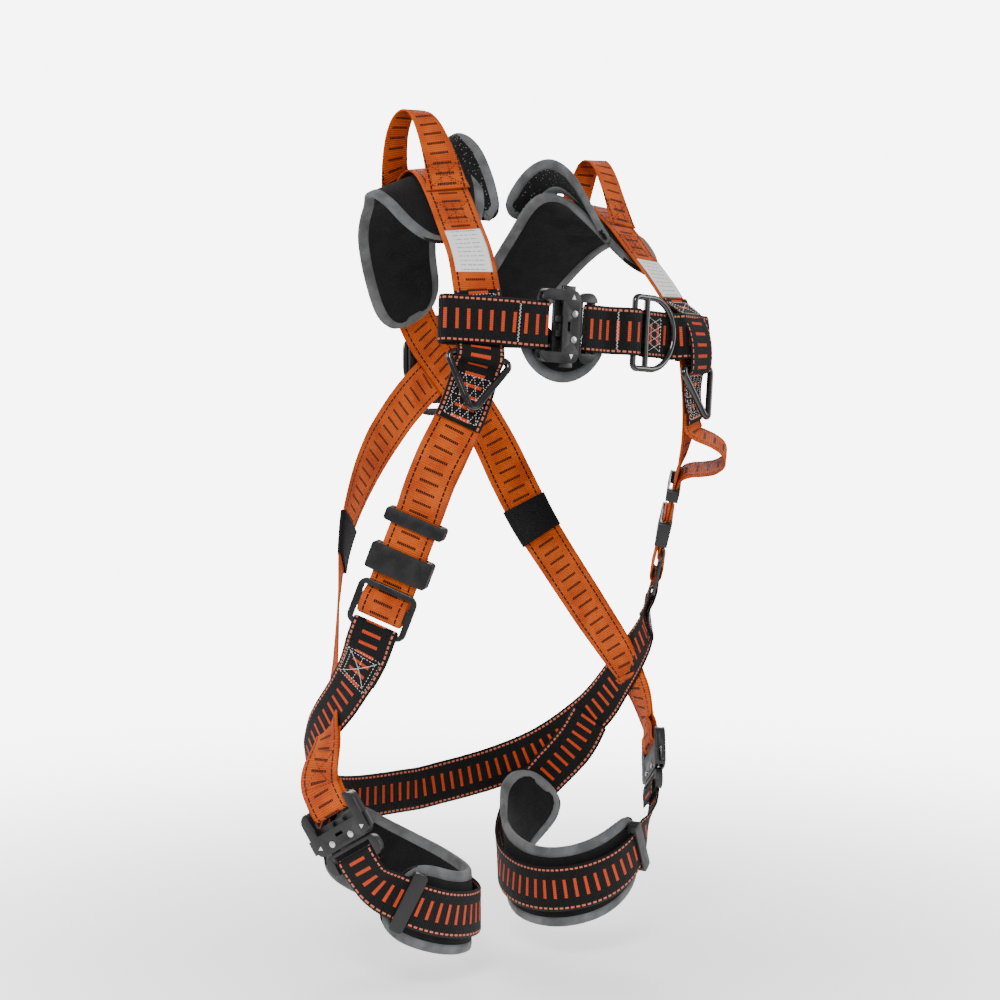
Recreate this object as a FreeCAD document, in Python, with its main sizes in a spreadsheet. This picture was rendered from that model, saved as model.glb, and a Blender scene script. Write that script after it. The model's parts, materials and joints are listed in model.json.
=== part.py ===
# Full-body fall-arrest harness, as worn: webbing, pads, rings, adjusters and three quick-connect buckles.
# Millimetres. +Z is up, the wearer faces -Y and their left is +X; names ending in _l are on their left.
# The origin is the middle of the opening for the wearer's waist. Routes are drawn on an upright wearer,
# mirrored to the other side, and then leaned by worn(), since the wearer stands with one hip out.
import FreeCAD, Part
import Sketcher
import os
from math import cos, sin, pi, radians

Vector = FreeCAD.Vector
UP = Vector(0, 0, 1)

os.makedirs("parts", exist_ok=True)
doc = FreeCAD.newDocument("safety_harness")

# ---------------------------------------------------------------- driving dimensions

DIMENSIONS = [
    ("web_width", 45.0), ("web_thick", 2.4), ("pad_thick", 8.0), ("leg_pad_width", 78.0),
    ("buckle_wide", 68.0), ("receiver_long", 44.0), ("receiver_centre", -15.0), ("corner", 9.0),
    ("base_low", 1.0), ("base_thick", 3.0), ("wall_high", 5.0), ("roof_thick", 2.0), ("wall_thick", 3.6),
    ("slot_wide", 48.0), ("slot_long", 8.0), ("slot_centre", -23.0),
    ("blade_wide", 19.0), ("blade_long", 28.0), ("blade_thick", 2.8), ("blade_low", 4.6),
    ("frame_wide", 66.0), ("frame_long", 20.0), ("frame_thick", 6.6), ("frame_centre", 19.0),
    ("tab_long", 14.0), ("tab_deep", 17.0), ("tab_thick", 3.6), ("tab_inner", 21.0), ("tab_place", -5.0),
    ("rivet_place", 12.0), ("rivet_radius", 2.0), ("rivet_head", 3.2), ("stack_high", 11.0),
    ("adjuster_wide", 60.0), ("adjuster_long", 46.0), ("adjuster_centre", -5.0),
    ("upper_slot_centre", 8.0), ("lower_slot_centre", -16.0), ("lower_slot_long", 12.0),
    ("keeper_wide", 60.0), ("keeper_long", 13.0), ("grip_wide", 62.0), ("grip_long", 26.0),
    ("tunnel_wide", 48.0), ("tunnel_high", 9.0), ("tunnel_low", -6.2), ("sleeve_wall", 1.7),
    ("leg_tunnel_high", 5.8), ("leg_tunnel_low", -2.8), ("leg_keeper_long", 14.0),
    ("pad_round", 52.0), ("pad_rise", 18.0), ("chest_pad_thick", 6.0), ("chest_pad_low", -8.6),
    ("plate_wide", 78.0), ("plate_long", 104.0), ("plate_thick", 4.0), ("plate_slot", 42.0),
    ("plate_slot_long", 5.0), ("lug_wide", 9.0), ("lug_high", 14.0), ("lug_place", 26.0),
    ("lug_apart", 43.0), ("lug_long", 16.0), ("lug_height", 11.0),
    ("seat_place", 16.6), ("seat_thick", 0.8), ("seat_long", 4.0), ("seat_high", 4.4), ("rivet_play", 0.05),
    ("tongue_slot_centre", 16.0), ("neck_centre", -15.0), ("neck_long", 10.0), ("neck_wide", 7.8),
    ("head_centre", -7.25), ("head_long", 6.5), ("head_wide", 14.4), ("tab_low", 4.8), ("arm_low", 7.6),
    ("arm_thick", 1.0), ("pawl_place", -8.0), ("pawl_long", 4.0), ("pawl_inner", 4.2), ("pawl_wide", 2.6),
    ("spring_deep", 9.0), ("spring_radius", 1.4), ("spring_wire", 0.5), ("spring_pitch", 1.7),
    ("web_way_long", 24.0), ("sight_long", 3.0), ("sight_wide", 9.0), ("tab_play", 0.6), ("head_thick", 0.8),
    ("label_thick", 0.6), ("label_width", 36.0), ("sleeve_cloth", 1.6), ("sleeve_overlap", 4.0),
    ("ring_rod", 6.5), ("chest_rod", 6.0), ("dorsal_rod", 8.0), ("loop_width", 26.0),
]

sheet = doc.addObject("Spreadsheet::Sheet", "dims")
for row, (alias, value) in enumerate(DIMENSIONS, start=1):
    sheet.set(f"A{row}", alias)
    sheet.set(f"B{row}", str(value))
    sheet.setAlias(f"B{row}", alias)
doc.recompute()
size = {alias: float(sheet.get(alias)) for alias, value in DIMENSIONS}

WIDTH, THICK = size["web_width"], size["web_thick"]
LAYER = THICK + 0.2                # pitch of two layers of webbing lying on each other
ARC_STEPS = 8                      # sections in a turn about a bar
CLOSING = 26.0                     # length over which the layers beyond a bar close up

# ---------------------------------------------------------------- the wearer's stance

HIP_SHIFT = 34.0                   # how far the waist and hips stand to the wearer's right
CHEST_Z, WAIST_Z = 230.0, 0.0
HIP_LEAN, LEAN_PER_MM = 0.07, 0.0006
LEFT_SHARE = 0.93                  # the wearer is turned a little, so their left side is drawn in


def hip_shift(z):
    share = min(1.0, max(0.0, (CHEST_Z - z) / (CHEST_Z - WAIST_Z)))
    return HIP_SHIFT * share * share * (3 - 2 * share)


def lean(z):
    return HIP_LEAN - LEAN_PER_MM * max(0.0, z)


def worn(p):
    """An upright wearer's point, moved to where it is on the leaning wearer."""
    x = p.x * LEFT_SHARE if p.x > 0 else p.x
    return Vector(x - hip_shift(p.z), p.y, p.z + x * lean(p.z))


# ---------------------------------------------------------------- routes

# Route points are (x, y, z, facing, tilt): facing is the turn of the outward normal from the front
# towards the wearer's left, and tilt is its rise, both in degrees.
FRONT = [
    (152, -112, 95, 42, 0), (146, -120, 125, 35, 0),
    (138, -125, 158, 28, 0), (131, -125, 192, 24, 0), (127, -121, 226, 22, 4), (124, -109, 257, 20, 14),
    (118, -90, 286, 18, 28), (113, -64, 314, 18, 38), (109, -40, 340, 18, 48), (105, -16, 359, 20, 66),
    (100, 10, 367, 60, 82), (95, 38, 361, 160, 62), (88, 66, 340, 165, 40), (76, 92, 303, 170, 22),
    (60, 110, 262, 175, 10), (36, 121, 226, 180, 4), (0, 128, 190, 180, 0), (-36, 124, 156, 184, 0),
    (-72, 114, 112, 194, 0), (-100, 98, 64, 214, 0), (-120, 80, 20, 230, 0), (-138, 56, -26, 240, 0),
    (-158, 28, -76, 246, 0), (-176, 8, -116, 256, 0), (-190, -6, -150, 274, 0),
]
SEAT = [
    (182, -42, -84, 66, 0), (185, -24, -106, 76, 0), (189, 16, -146, 92, 0),
    (180, 50, -186, 112, 0), (146, 88, -222, 142, 0), (88, 116, -242, 164, 0), (0, 128, -250, 180, 0),
]
CHEST_END = [(156, -109, 226, 24, 8), (127, -121, 226, 24, 8), (106, -131, 226, 24, 6)]
LEG = [
    (158, -64, -292, 44, 0), (134, -76, -307, 28, 0), (106, -80, -319, 10, 0), (76, -74, -327, -16, 0),
    (50, -56, -331, -46, 0), (36, -28, -332, -76, 0), (33, 4, -329, -96, 0), (42, 38, -321, -122, 0),
    (66, 70, -307, -148, 0), (102, 90, -286, -178, 0), (138, 88, -258, -204, 0), (166, 66, -222, -232, 0),
    (176, 50, -192, -246, 0),
]
LOOP = [
    (109, -40, 345, 18, 20), (109, -26, 375, 14, 14), (111, -8, 404, 10, 40), (113, 8, 416, 20, 88),
    (116, 24, 414, 170, 50), (117, 37, 396, 172, 16), (113, 48, 368, 172, 0), (106, 56, 352, 172, 10),
]
# pads add their width to each point: (x, y, z, facing, tilt, width)
SHOULDER_PAD = [
    (121, -70, 300, 22, 32, 50), (120, -48, 326, 24, 42, 84), (116, -18, 352, 34, 58, 106),
    (112, 14, 364, 90, 70, 112), (107, 44, 356, 140, 54, 108), (96, 76, 325, 168, 30, 98),
    (76, 102, 280, 175, 12, 86), (50, 118, 234, 180, 4, 76),
]
COLLAR_PAD = [
    (74, -58, 322, 40, 40, 22), (70, -36, 352, 60, 36, 30), (67, -8, 380, 80, 32, 36),
    (66, 22, 392, 95, 32, 38), (64, 52, 382, 120, 34, 36), (56, 80, 350, 150, 24, 30),
]
LEG_PAD = LEG[:-2]


def turned(side, facing, tilt=0.0):
    """Unit direction that faces so far round from the front, and so far up."""
    f, e = radians(facing), radians(tilt)
    return Vector(side * cos(e) * sin(f), -cos(e) * cos(f), sin(e))


def stations(points, side=1, steps=3):
    """[(place, normal, width)] along a smooth curve through the route's points."""
    rows = [(worn(Vector(side * x, y, z)), turned(side, facing, tilt), rest[0] if rest else WIDTH)
            for x, y, z, facing, tilt, *rest in points]
    out = []
    for i in range(len(rows) - 1):
        before, here = rows[max(0, i - 1)], rows[i]
        there, after = rows[i + 1], rows[min(len(rows) - 1, i + 2)]
        for k in range(steps):
            u = k / steps
            # Hermite weights of the four neighbours, with Catmull-Rom slopes
            weights = (-0.5 * u + u * u - 0.5 * u ** 3, 1 - 2.5 * u * u + 1.5 * u ** 3,
                       0.5 * u + 2 * u * u - 1.5 * u ** 3, -0.5 * u * u + 0.5 * u ** 3)
            near = (before, here, there, after)
            place = Vector()
            for row, weight in zip(near, weights):
                place += row[0] * weight
            normal = here[1] * (1 - u) + there[1] * u
            out.append((place, normal.normalize(), here[2] * (1 - u) + there[2] * u))
    out.append(rows[-1])
    return out


def along(line, i):
    """Unit direction of travel at a station."""
    return (line[min(len(line) - 1, i + 1)][0] - line[max(0, i - 1)][0]).normalize()


def squared(line):
    """[(place, along, across, out, width)], with the normals turned square to the line."""
    rows = []
    for i, (place, normal, width) in enumerate(line):
        t = along(line, i)
        n = (normal - t * normal.dot(t)).normalize()
        rows.append((place, t, t.cross(n), n, width))
    return rows


def lifted(line, height):
    """The same stations, moved out from the body; height is a number or a function of the share along."""
    rows = squared(line)
    last = len(rows) - 1
    return [(p + n * (height(i / last) if callable(height) else height), n, width)
            for i, (p, t, w, n, width) in enumerate(rows)]


def fold_end(line, radius, back, hold=0.0):
    """Adds a turn about a bar at the line's last station, and a layer running back under the line.
    The two layers stay open for the length hold, and then close on each other."""
    rows = squared(line)
    place, t, w, n, width = rows[-1]
    centre = place - n * radius
    turn = [(centre + (n * cos(a) + t * sin(a)) * radius, n * cos(a) + t * sin(a), width)
            for a in (pi * k / ARC_STEPS for k in range(1, ARC_STEPS + 1))]
    under, run = [], 0.0
    for i in range(len(rows) - 2, -1, -1):
        run += (rows[i + 1][0] - rows[i][0]).Length
        if run > back:
            break
        gap = LAYER + (2 * radius - LAYER) * min(1.0, max(0.0, 1 - (run - hold) / CLOSING))
        under.append((rows[i][0] - rows[i][3] * gap, rows[i][3] * -1, width))
    return line + turn + under


# ---------------------------------------------------------------- solids

def strip(line, thick, width=None):
    """The solid of a flat band along the stations, ruled from section to section."""
    wires = []
    for place, t, w, n, own in squared(line):
        a, b = w * ((width or own) / 2), n * (thick / 2)
        corners = [place + a + b, place - a + b, place - a - b, place + a - b]
        wires.append(Part.makePolygon(corners + corners[:1]))
    return Part.makeLoft(wires, True, True)


def ribbon(label, line, thick=THICK, width=None):
    """A sub-part that is one flat band."""
    feature = doc.addObject("Part::Feature", label)
    feature.Shape = strip(line, thick, width)
    return keep(feature, label)


kept = []


def keep(feature, label, placement=None):
    """Names a finished sub-part, places it, and lists it for writing."""
    feature.Label = label
    if placement is not None:
        feature.Placement = placement
    kept.append(feature)
    return feature


def frame_at(place, x_axis, z_axis):
    """A placement whose x axis lies along x_axis, and its z axis as near to z_axis as that allows."""
    x = Vector(x_axis).normalize()
    z = (z_axis - x * z_axis.dot(x)).normalize()
    y = z.cross(x)
    m = FreeCAD.Matrix(x.x, y.x, z.x, place.x, x.y, y.y, z.y, place.y, x.z, y.z, z.z, place.z, 0, 0, 0, 1)
    return FreeCAD.Placement(m)


def origin_plane(body, role):
    return next(f for f in body.Origin.OriginFeatures if f.Role == role)


def rectangle(body, name, low, x, y, wide_x, wide_y):
    """A sketch of one rectangle, centred at x, y and standing at height low; all are expressions."""
    sketch = body.newObject("Sketcher::SketchObject", name)
    sketch.AttachmentSupport = (origin_plane(body, "XY_Plane"), [""])
    sketch.MapMode = "FlatFace"
    sketch.setExpression("AttachmentOffset.Base.z", f"({low}) * 1 mm")
    corners = [Vector(-1, -1, 0), Vector(1, -1, 0), Vector(1, 1, 0), Vector(-1, 1, 0)]
    for a, b in zip(corners, corners[1:] + corners[:1]):
        sketch.addGeometry(Part.LineSegment(a, b), False)
    for i in range(4):
        sketch.addConstraint(Sketcher.Constraint("Coincident", i, 2, (i + 1) % 4, 1))
    for i in (0, 2):
        sketch.addConstraint(Sketcher.Constraint("Horizontal", i))
        sketch.addConstraint(Sketcher.Constraint("Vertical", i + 1))
    bound = [("DistanceX", (0, 1, 0, 2), wide_x), ("DistanceY", (1, 1, 1, 2), wide_y),
             ("DistanceX", (-1, 1, 0, 1), f"({x}) - ({wide_x}) / 2"),
             ("DistanceY", (-1, 1, 0, 1), f"({y}) - ({wide_y}) / 2")]
    for kind, ends, text in bound:
        index = sketch.addConstraint(Sketcher.Constraint(kind, *ends, 2.0))
        sketch.setExpression(f"Constraints[{index}]", text)
    return sketch


def slab(body, name, low, high, x, y, wide_x, wide_y):
    """Pads a rectangle up from height low by height high."""
    pad = body.newObject("PartDesign::Pad", name)
    pad.Profile = rectangle(body, name + "_sketch", low, x, y, wide_x, wide_y)
    pad.setExpression("Length", high)
    return pad


def window(body, name, low, high, x, y, wide_x, wide_y):
    """Cuts a rectangular window up from height low by height high."""
    cut = body.newObject("PartDesign::Pocket", name)
    cut.Profile = rectangle(body, name + "_sketch", low, x, y, wide_x, wide_y)
    cut.Reversed = True
    cut.setExpression("Length", high)
    return cut


def rounded(body, name, radius):
    """Rounds every upright edge of the tip."""
    doc.recompute()
    base = body.Tip
    names = [f"Edge{i}" for i, e in enumerate(base.Shape.Edges, start=1)
             if len(e.Vertexes) == 2 and abs(e.tangentAt(e.FirstParameter).z) > 0.99]
    fillet = body.newObject("PartDesign::Fillet", name)
    fillet.Base = (base, names)
    fillet.setExpression("Radius", radius)
    return fillet


def new_body(label):
    return doc.addObject("PartDesign::Body", label)


def sweep_rod(label, wire, radius_text, placement):
    """A bent round bar along a wire that starts along its first edge."""
    path = doc.addObject("Part::Feature", label + "_path")
    path.Shape = wire
    section = doc.addObject("Part::Circle", label + "_section")
    section.setExpression("Radius", radius_text)
    start = wire.OrderedEdges[0]
    direction = start.tangentAt(start.FirstParameter)
    turn = FreeCAD.Rotation(UP, direction)
    section.Placement = FreeCAD.Placement(start.valueAt(start.FirstParameter), turn)
    rod = doc.addObject("Part::Sweep", label)
    rod.Sections = [section]
    rod.Spine = (path, [f"Edge{i}" for i in range(1, len(wire.Edges) + 1)])
    rod.Solid = True
    rod.Transition = "Round corner"
    return keep(rod, label, placement)


def rounded_loop(corners, radius):
    """A closed wire through the corners, each turned with the same radius."""
    edges, count = [], len(corners)
    ends = []
    for i, c in enumerate(corners):
        a = (corners[i - 1] - c).normalize()
        b = (corners[(i + 1) % count] - c).normalize()
        half = a.getAngle(b) / 2
        reach = radius / (sin(half) / cos(half))
        middle = c + (a + b).normalize() * (radius / sin(half) - radius)
        ends.append((c + a * reach, middle, c + b * reach))
    for i in range(count):
        edges.append(Part.Arc(*ends[i]).toShape())
        edges.append(Part.LineSegment(ends[i][2], ends[(i + 1) % count][0]).toShape())
    return Part.Wire(Part.__sortEdges__(edges[1:] + edges[:1]))


# ---------------------------------------------------------------- where the hardware sits

SIDES = {"r": -1, "l": 1}
FOLD = 3.1                         # radius of the webbing's middle where it turns about a bar
BAR_MIDDLE = size["base_low"] + size["base_thick"] / 2
OVER_BAR = BAR_MIDDLE + FOLD       # height of the webbing over a bar
BAR_HOLD = 10.0                    # the layers stay open this far past a bar
RECEIVER_BAR, TONGUE_BAR, ADJUSTER_BAR = -28.0, 21.0, -23.0     # where the webbing turns about each bar
ADJUSTER_FOOT, ADJUSTER_FACING = Vector(168, -72, -16), 48.0
LEG_BUCKLE_PLACE, LEG_BUCKLE_FACING = Vector(187, -36, -236), 66.0
LEG_BUCKLE_RUN = (0.30, -0.42, -0.855)       # the way its strap runs, on the wearer's right
CHEST_BUCKLE_PLACE, CHEST_LEVEL = Vector(-46, -145, 226), Vector(46, 0, 0)
CHEST_RING_PLACE, CHEST_RING_FACING = Vector(46, -146, 226), 12.0
GRIP_PLACE, KEEPER_PLACE, LEG_KEEPER_ROW = 40.0, 82.0, 6
DORSAL_PLACE = Vector(0, 131.5, 190)
DORSAL_HALF, DORSAL_STRAIGHT, DORSAL_TURN = 36.0, 26.0, 9.0
# a front ring's bar, on the upright wearer and off the strap, and the triangle that hangs from it
RING_BAR_Z, RING_BAR_LIFT = 194.5, 7.0
RING_HALF, RING_DEEP, RING_TURN, RING_TILT = 31.5, 54.0, 5.0, 9.0
CHEST_RING_HALF, CHEST_RING_STRAIGHT, CHEST_RING_SLOT, CHEST_RING_HEIGHT = 34.0, 7.0, 18.0, 4.6


def mirrored(p, side):
    return worn(Vector(side * p.x, p.y, p.z))


adjuster, leg_buckle = {}, {}
for name, side in SIDES.items():
    foot = mirrored(ADJUSTER_FOOT, side)
    top = mirrored(Vector(*FRONT[0][:3]), side)
    adjuster[name] = frame_at(foot, top - foot, turned(side, ADJUSTER_FACING))
    inward, forward, downward = LEG_BUCKLE_RUN
    leg_buckle[name] = frame_at(mirrored(LEG_BUCKLE_PLACE, side), Vector(-side * inward, forward, downward),
                                turned(side, LEG_BUCKLE_FACING))
chest_middle = worn(CHEST_BUCKLE_PLACE)
chest_run = worn(CHEST_BUCKLE_PLACE + CHEST_LEVEL) - chest_middle
chest_buckle = frame_at(chest_middle, chest_run, Vector(0, -1, 0))
ring_run = FreeCAD.Rotation(UP, CHEST_RING_FACING).multVec(chest_run)
chest_ring_frame = frame_at(worn(CHEST_RING_PLACE), ring_run, turned(1, CHEST_RING_FACING))


def local_line(placement, pairs):
    """Stations through (x, z) pairs in a placement's own frame, with normals square to the path."""
    points = [placement.multVec(Vector(x, 0, z)) for x, z in pairs]
    across = placement.Rotation.multVec(Vector(0, 1, 0))
    rows = []
    for i, p in enumerate(points):
        t = (points[min(len(points) - 1, i + 1)] - points[max(0, i - 1)]).normalize()
        rows.append((p, t.cross(across), WIDTH))
    return rows


# (distance from a bar, height) of webbing that comes in over it
APPROACH = [(24, BAR_MIDDLE), (14, OVER_BAR - 0.8), (6, OVER_BAR), (0, OVER_BAR)]


def approach(placement, x, side, steps=APPROACH):
    """Stations that come in along a buckle's own x axis, from its side, and end over its bar at x."""
    out = placement.Rotation.multVec(Vector(0, 0, 1))
    return [(placement.multVec(Vector(x + side * d, 0, z)), out, WIDTH) for d, z in steps]


def folded_start(line, radius, back, hold=0.0):
    return fold_end(line[::-1], radius, back, hold)[::-1]


# ---------------------------------------------------------------- webbing

# (x, z) in an adjuster's frame: up behind the strap, about the middle bar, and up behind the top bar
THREADING = [
    (56, -4.5), (40, -4.4), (20, -4.4), (0, -4.5), (-9, -4.4), (-12.6, -3.2), (-14.5, -0.6), (-14.6, 1.6),
    (-13.0, 4.2), (-9.5, 5.6), (-3, 5.8), (3, 5.7), (6, 4.2), (9.4, 0.2), (12, -1.5), (18, -1.6), (36, -1.6),
    (66, -1.6), (96, -1.6),
]
# (x, z) in the chest ring's frame: under its bow and bar, and over its rail
RING_THREADING = [
    (49, 1.0), (41, -0.2), (12, 0.0), (3, 0.0), (-3, 0.2), (-8.5, 4.2), (-13, 8.4), (-20, 9.2), (-28, 7.5),
]
SLEEVE_TOP, SLEEVE_FOOT = 46.0, 4.0          # a back sleeve's ends, on the upright wearer
SEAT_FOLD = 60.0                   # length of the seat strap's layer that runs back from an adjuster
CHEST_LIFT, CHEST_FOLD, CHEST_HOLD = 9.5, 8.2, 60.0
HIP_SHARE = 0.80                   # from here on, the strap lies over the seat strap
CROSSING_REACH, CROSSING_DEPTH = 60.0, 100.0     # where the two straps lie on each other at the back


def shoulder_strap(name):
    """From an adjuster over the shoulder, across the back and down to the other leg's buckle."""
    side, other = SIDES[name], "l" if name == "r" else "r"
    threading = local_line(adjuster[name], THREADING)
    crossing = LAYER / 2 * side
    body = [(p + n * crossing if abs(p.x) < CROSSING_REACH and p.y > CROSSING_DEPTH else p, n, w)
            for p, n, w in stations(FRONT, side)]
    hip = lifted(body, lambda share: LAYER * min(1.0, max(0.0, (share - HIP_SHARE) * 10)))
    line = threading + hip + approach(leg_buckle[other], RECEIVER_BAR, -1)
    return ribbon("shoulder_strap_" + name, fold_end(line, FOLD, 80.0, BAR_HOLD))


def seat_strap():
    """From one adjuster round under the seat to the other."""
    middle = stations(SEAT, -1) + stations(SEAT, 1)[::-1][1:]
    start, end = (approach(adjuster[name], ADJUSTER_BAR, -1) for name in SIDES)
    line = fold_end(start[::-1] + middle + end, FOLD, SEAT_FOLD, BAR_HOLD)
    return ribbon("seat_strap", folded_start(line, FOLD, SEAT_FOLD, BAR_HOLD))


def chest_strap(name):
    """Round the shoulder strap at one end, and round a buckle's bar at the other."""
    if name == "r":
        line = lifted(stations(CHEST_END, -1), CHEST_LIFT)
        line += approach(chest_buckle, RECEIVER_BAR, -1, APPROACH[1:])
        reach = 24.0
    else:
        ring = local_line(chest_ring_frame, RING_THREADING)
        line = lifted(stations(CHEST_END, 1), CHEST_LIFT)
        line += [(p, n * -1, w) for p, n, w in ring] + approach(chest_buckle, TONGUE_BAR, 1)
        reach = 20.0
    line = fold_end(line, FOLD, reach, BAR_HOLD)
    return ribbon("chest_strap_" + name, folded_start(line, CHEST_FOLD, 84.0, CHEST_HOLD))


def upright_z(p):
    """The height that a worn point had on the upright wearer."""
    z = p.z
    for _ in range(5):
        z = p.z - (p.x + hip_shift(z)) * lean(z)
    return z


def front_rows(name, heights):
    """Stations on the front of a shoulder strap at the given (upright height, lift) pairs, going up."""
    rows = [(upright_z(row[0]), row) for row in squared(stations(FRONT[:9], SIDES[name], 24))]
    out = []
    for z, rise in heights:
        p, t, w, n, width = min(rows, key=lambda row: abs(row[0] - z))[1]
        out.append((p + n * rise, n, width))
    return out


# lifts off the shoulder strap, by upright height
PATCH_FOOT = [
    (138, 5.2), (148, 5.2), (156, 2.6), (184, 2.6), (187.8, 3.6), (189.3, 7.0), (190.8, 10.6),
    (RING_BAR_Z, 12.3),
]
PATCH = {
    "r": PATCH_FOOT + [(198.2, 10.9), (201.5, 6.6), (206, 3.2), (212, 2.6), (230, 2.6), (252, 2.6)],
    "l": PATCH_FOOT + [(202, 13.4), (216, 14.6), (232, 14.4), (246, 11.0), (254, 6.0), (260, 2.8),
                       (266, 2.6)],
}
LABEL = [(268, 1.7), (276, 1.7), (284, 1.7), (292, 1.7), (300, 1.7), (306, 1.7)]
# the doubled front layer in an adjuster's frame: slack on the wearer's left, flat on their right
TAIL = {
    "r": [(33, 1.1), (60, 1.1), (90, 1.1), (96, 2.0), (106, 5.0), (118, 6.6), (130, 6.6), (142, 5.2)],
    "l": [(33, 1.1), (60, 1.1), (90, 1.1), (95, 1.8), (99, 4.6), (103, 11), (107, 23), (113, 35), (122, 41),
          (131, 38), (137, 28), (140, 16), (142, 7)],
}


def strap_tail(name):
    line = local_line(adjuster[name], TAIL[name]) + front_rows(name, [(142, 2.6), (150, 2.6)])
    return ribbon("strap_tail_" + name, line)


def on_front(name):
    """The ring patch, which stands off the strap over the ring's bar, and the label above it."""
    ribbon("ring_patch_" + name, front_rows(name, PATCH[name]))
    ribbon("label_" + name, front_rows(name, LABEL), size["label_thick"], size["label_width"])


def back_sleeve(name):
    """A stitched sleeve round the strap where it crosses the back of the waist."""
    rows = [row for row in stations(FRONT, SIDES[name], 6)
            if row[0].y > 0 and SLEEVE_FOOT < upright_z(row[0]) < SLEEVE_TOP]
    outer = strip(rows, THICK + 2 * size["sleeve_cloth"], WIDTH + size["sleeve_overlap"])
    cut = outer.cut(strip(rows, THICK + 0.1, WIDTH + 0.2))
    feature = doc.addObject("Part::Feature", "back_sleeve_" + name)
    feature.Shape = cut
    return keep(feature, "back_sleeve_" + name)


KEEPER_ROOM = 4.9                  # between a leg strap and its pad


def leg_line(name):
    return approach(leg_buckle[name], TONGUE_BAR, 1)[::-1] + stations(LEG, SIDES[name])


def leg_strap(name):
    """From the tongue's bar forward round the thigh and up to the seat strap."""
    return ribbon("leg_strap_" + name, folded_start(leg_line(name), FOLD, 22.0, BAR_HOLD))


def pads(name):
    side = SIDES[name]
    thick = size["pad_thick"]
    under = -(THICK / 2 + thick / 2 + 0.3)
    ribbon("shoulder_pad_" + name, lifted(stations(SHOULDER_PAD, side), under - 1.5), thick)
    ribbon("collar_pad_" + name, lifted(stations(COLLAR_PAD, side), 0.0), thick)
    leg = [(p, n, size["leg_pad_width"]) for p, n, w in stations(LEG_PAD, side)]
    ribbon("leg_pad_" + name, lifted(leg, under - KEEPER_ROOM), thick)


def shoulder_loop(name):
    rows = stations(LOOP, SIDES[name])
    last = len(rows) - 1
    narrow = WIDTH - size["loop_width"]
    line = [(p, n, WIDTH - narrow * sin(pi * i / last) ** 0.7 if 0 < i < last else WIDTH)
            for i, (p, n, w) in enumerate(rows)]
    return ribbon("shoulder_loop_" + name, line)


for name in SIDES:
    shoulder_strap(name)
    chest_strap(name)
    strap_tail(name)
    on_front(name)
    back_sleeve(name)
    leg_strap(name)
    pads(name)
    shoulder_loop(name)
seat_strap()


# ---------------------------------------------------------------- quick-connect buckles

def bore(body, name, x, y, radius):
    """Drills an upright hole right through the body."""
    cut = body.newObject("PartDesign::Pocket", name)
    sketch = body.newObject("Sketcher::SketchObject", name + "_sketch")
    sketch.AttachmentSupport = (origin_plane(body, "XY_Plane"), [""])
    sketch.MapMode = "FlatFace"
    sketch.addGeometry(Part.Circle(Vector(1, 1, 0), UP, 1.0), False)
    bound = [("DistanceX", (-1, 1, 0, 3), x), ("DistanceY", (-1, 1, 0, 3), y), ("Radius", (0,), radius)]
    for kind, ends, text in bound:
        index = sketch.addConstraint(Sketcher.Constraint(kind, *ends, 1.0))
        sketch.setExpression(f"Constraints[{index}]", text)
    cut.Profile = sketch
    cut.Type = "ThroughAll"
    cut.Midplane = True
    return cut


RIVET_BORE = "dims.rivet_radius + dims.rivet_play"


def receiver_base(label, placement):
    """The plate that the webbing turns about, with a seat for each tab's spring."""
    body = new_body(label)
    slab(body, "plate", "dims.base_low", "dims.base_thick", "dims.receiver_centre", "0",
         "dims.receiver_long", "dims.buckle_wide")
    rounded(body, "corners", "dims.corner")
    window(body, "slot", "dims.base_low", "dims.base_thick", "dims.slot_centre", "0",
           "dims.slot_long", "dims.slot_wide")
    for sign in (1, -1):
        slab(body, f"seat_{sign + 1}", "dims.base_low + dims.base_thick", "dims.seat_high", "0",
             f"{sign} * dims.seat_place", "dims.seat_long", "dims.seat_thick")
        bore(body, f"rivet_hole_{sign + 1}", "0", f"{sign} * dims.rivet_place", RIVET_BORE)
    return keep(body, label, placement)


def receiver_cover(label, placement):
    """The hood over the latch, open over the webbing's bar, at the tongue's end and at the tabs' sides."""
    body = new_body(label)
    low, high = "dims.base_low + dims.base_thick", "dims.wall_high"
    slab(body, "block", low, high + " + dims.roof_thick", "dims.receiver_centre", "0",
         "dims.receiver_long", "dims.buckle_wide")
    rounded(body, "corners", "dims.corner")
    window(body, "tunnel", low, high, "dims.receiver_centre", "0", "2 * dims.receiver_long",
           "dims.buckle_wide - 2 * dims.wall_thick")
    window(body, "tab_ways", low, high, "dims.tab_place", "0", "dims.tab_long + dims.tab_play",
           "2 * dims.buckle_wide")
    window(body, "sight", low + " + " + high, "dims.roof_thick", "dims.slot_centre / 4", "0",
           "dims.sight_long", "dims.sight_wide")
    window(body, "web_way", low + " + " + high, "dims.roof_thick",
           "dims.receiver_centre - dims.receiver_long / 2 + dims.web_way_long / 2 - 1", "0",
           "dims.web_way_long + 2", "dims.slot_wide")
    for sign in (1, -1):
        bore(body, f"rivet_hole_{sign + 1}", "0", f"{sign} * dims.rivet_place", RIVET_BORE)
    return keep(body, label, placement)


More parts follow.
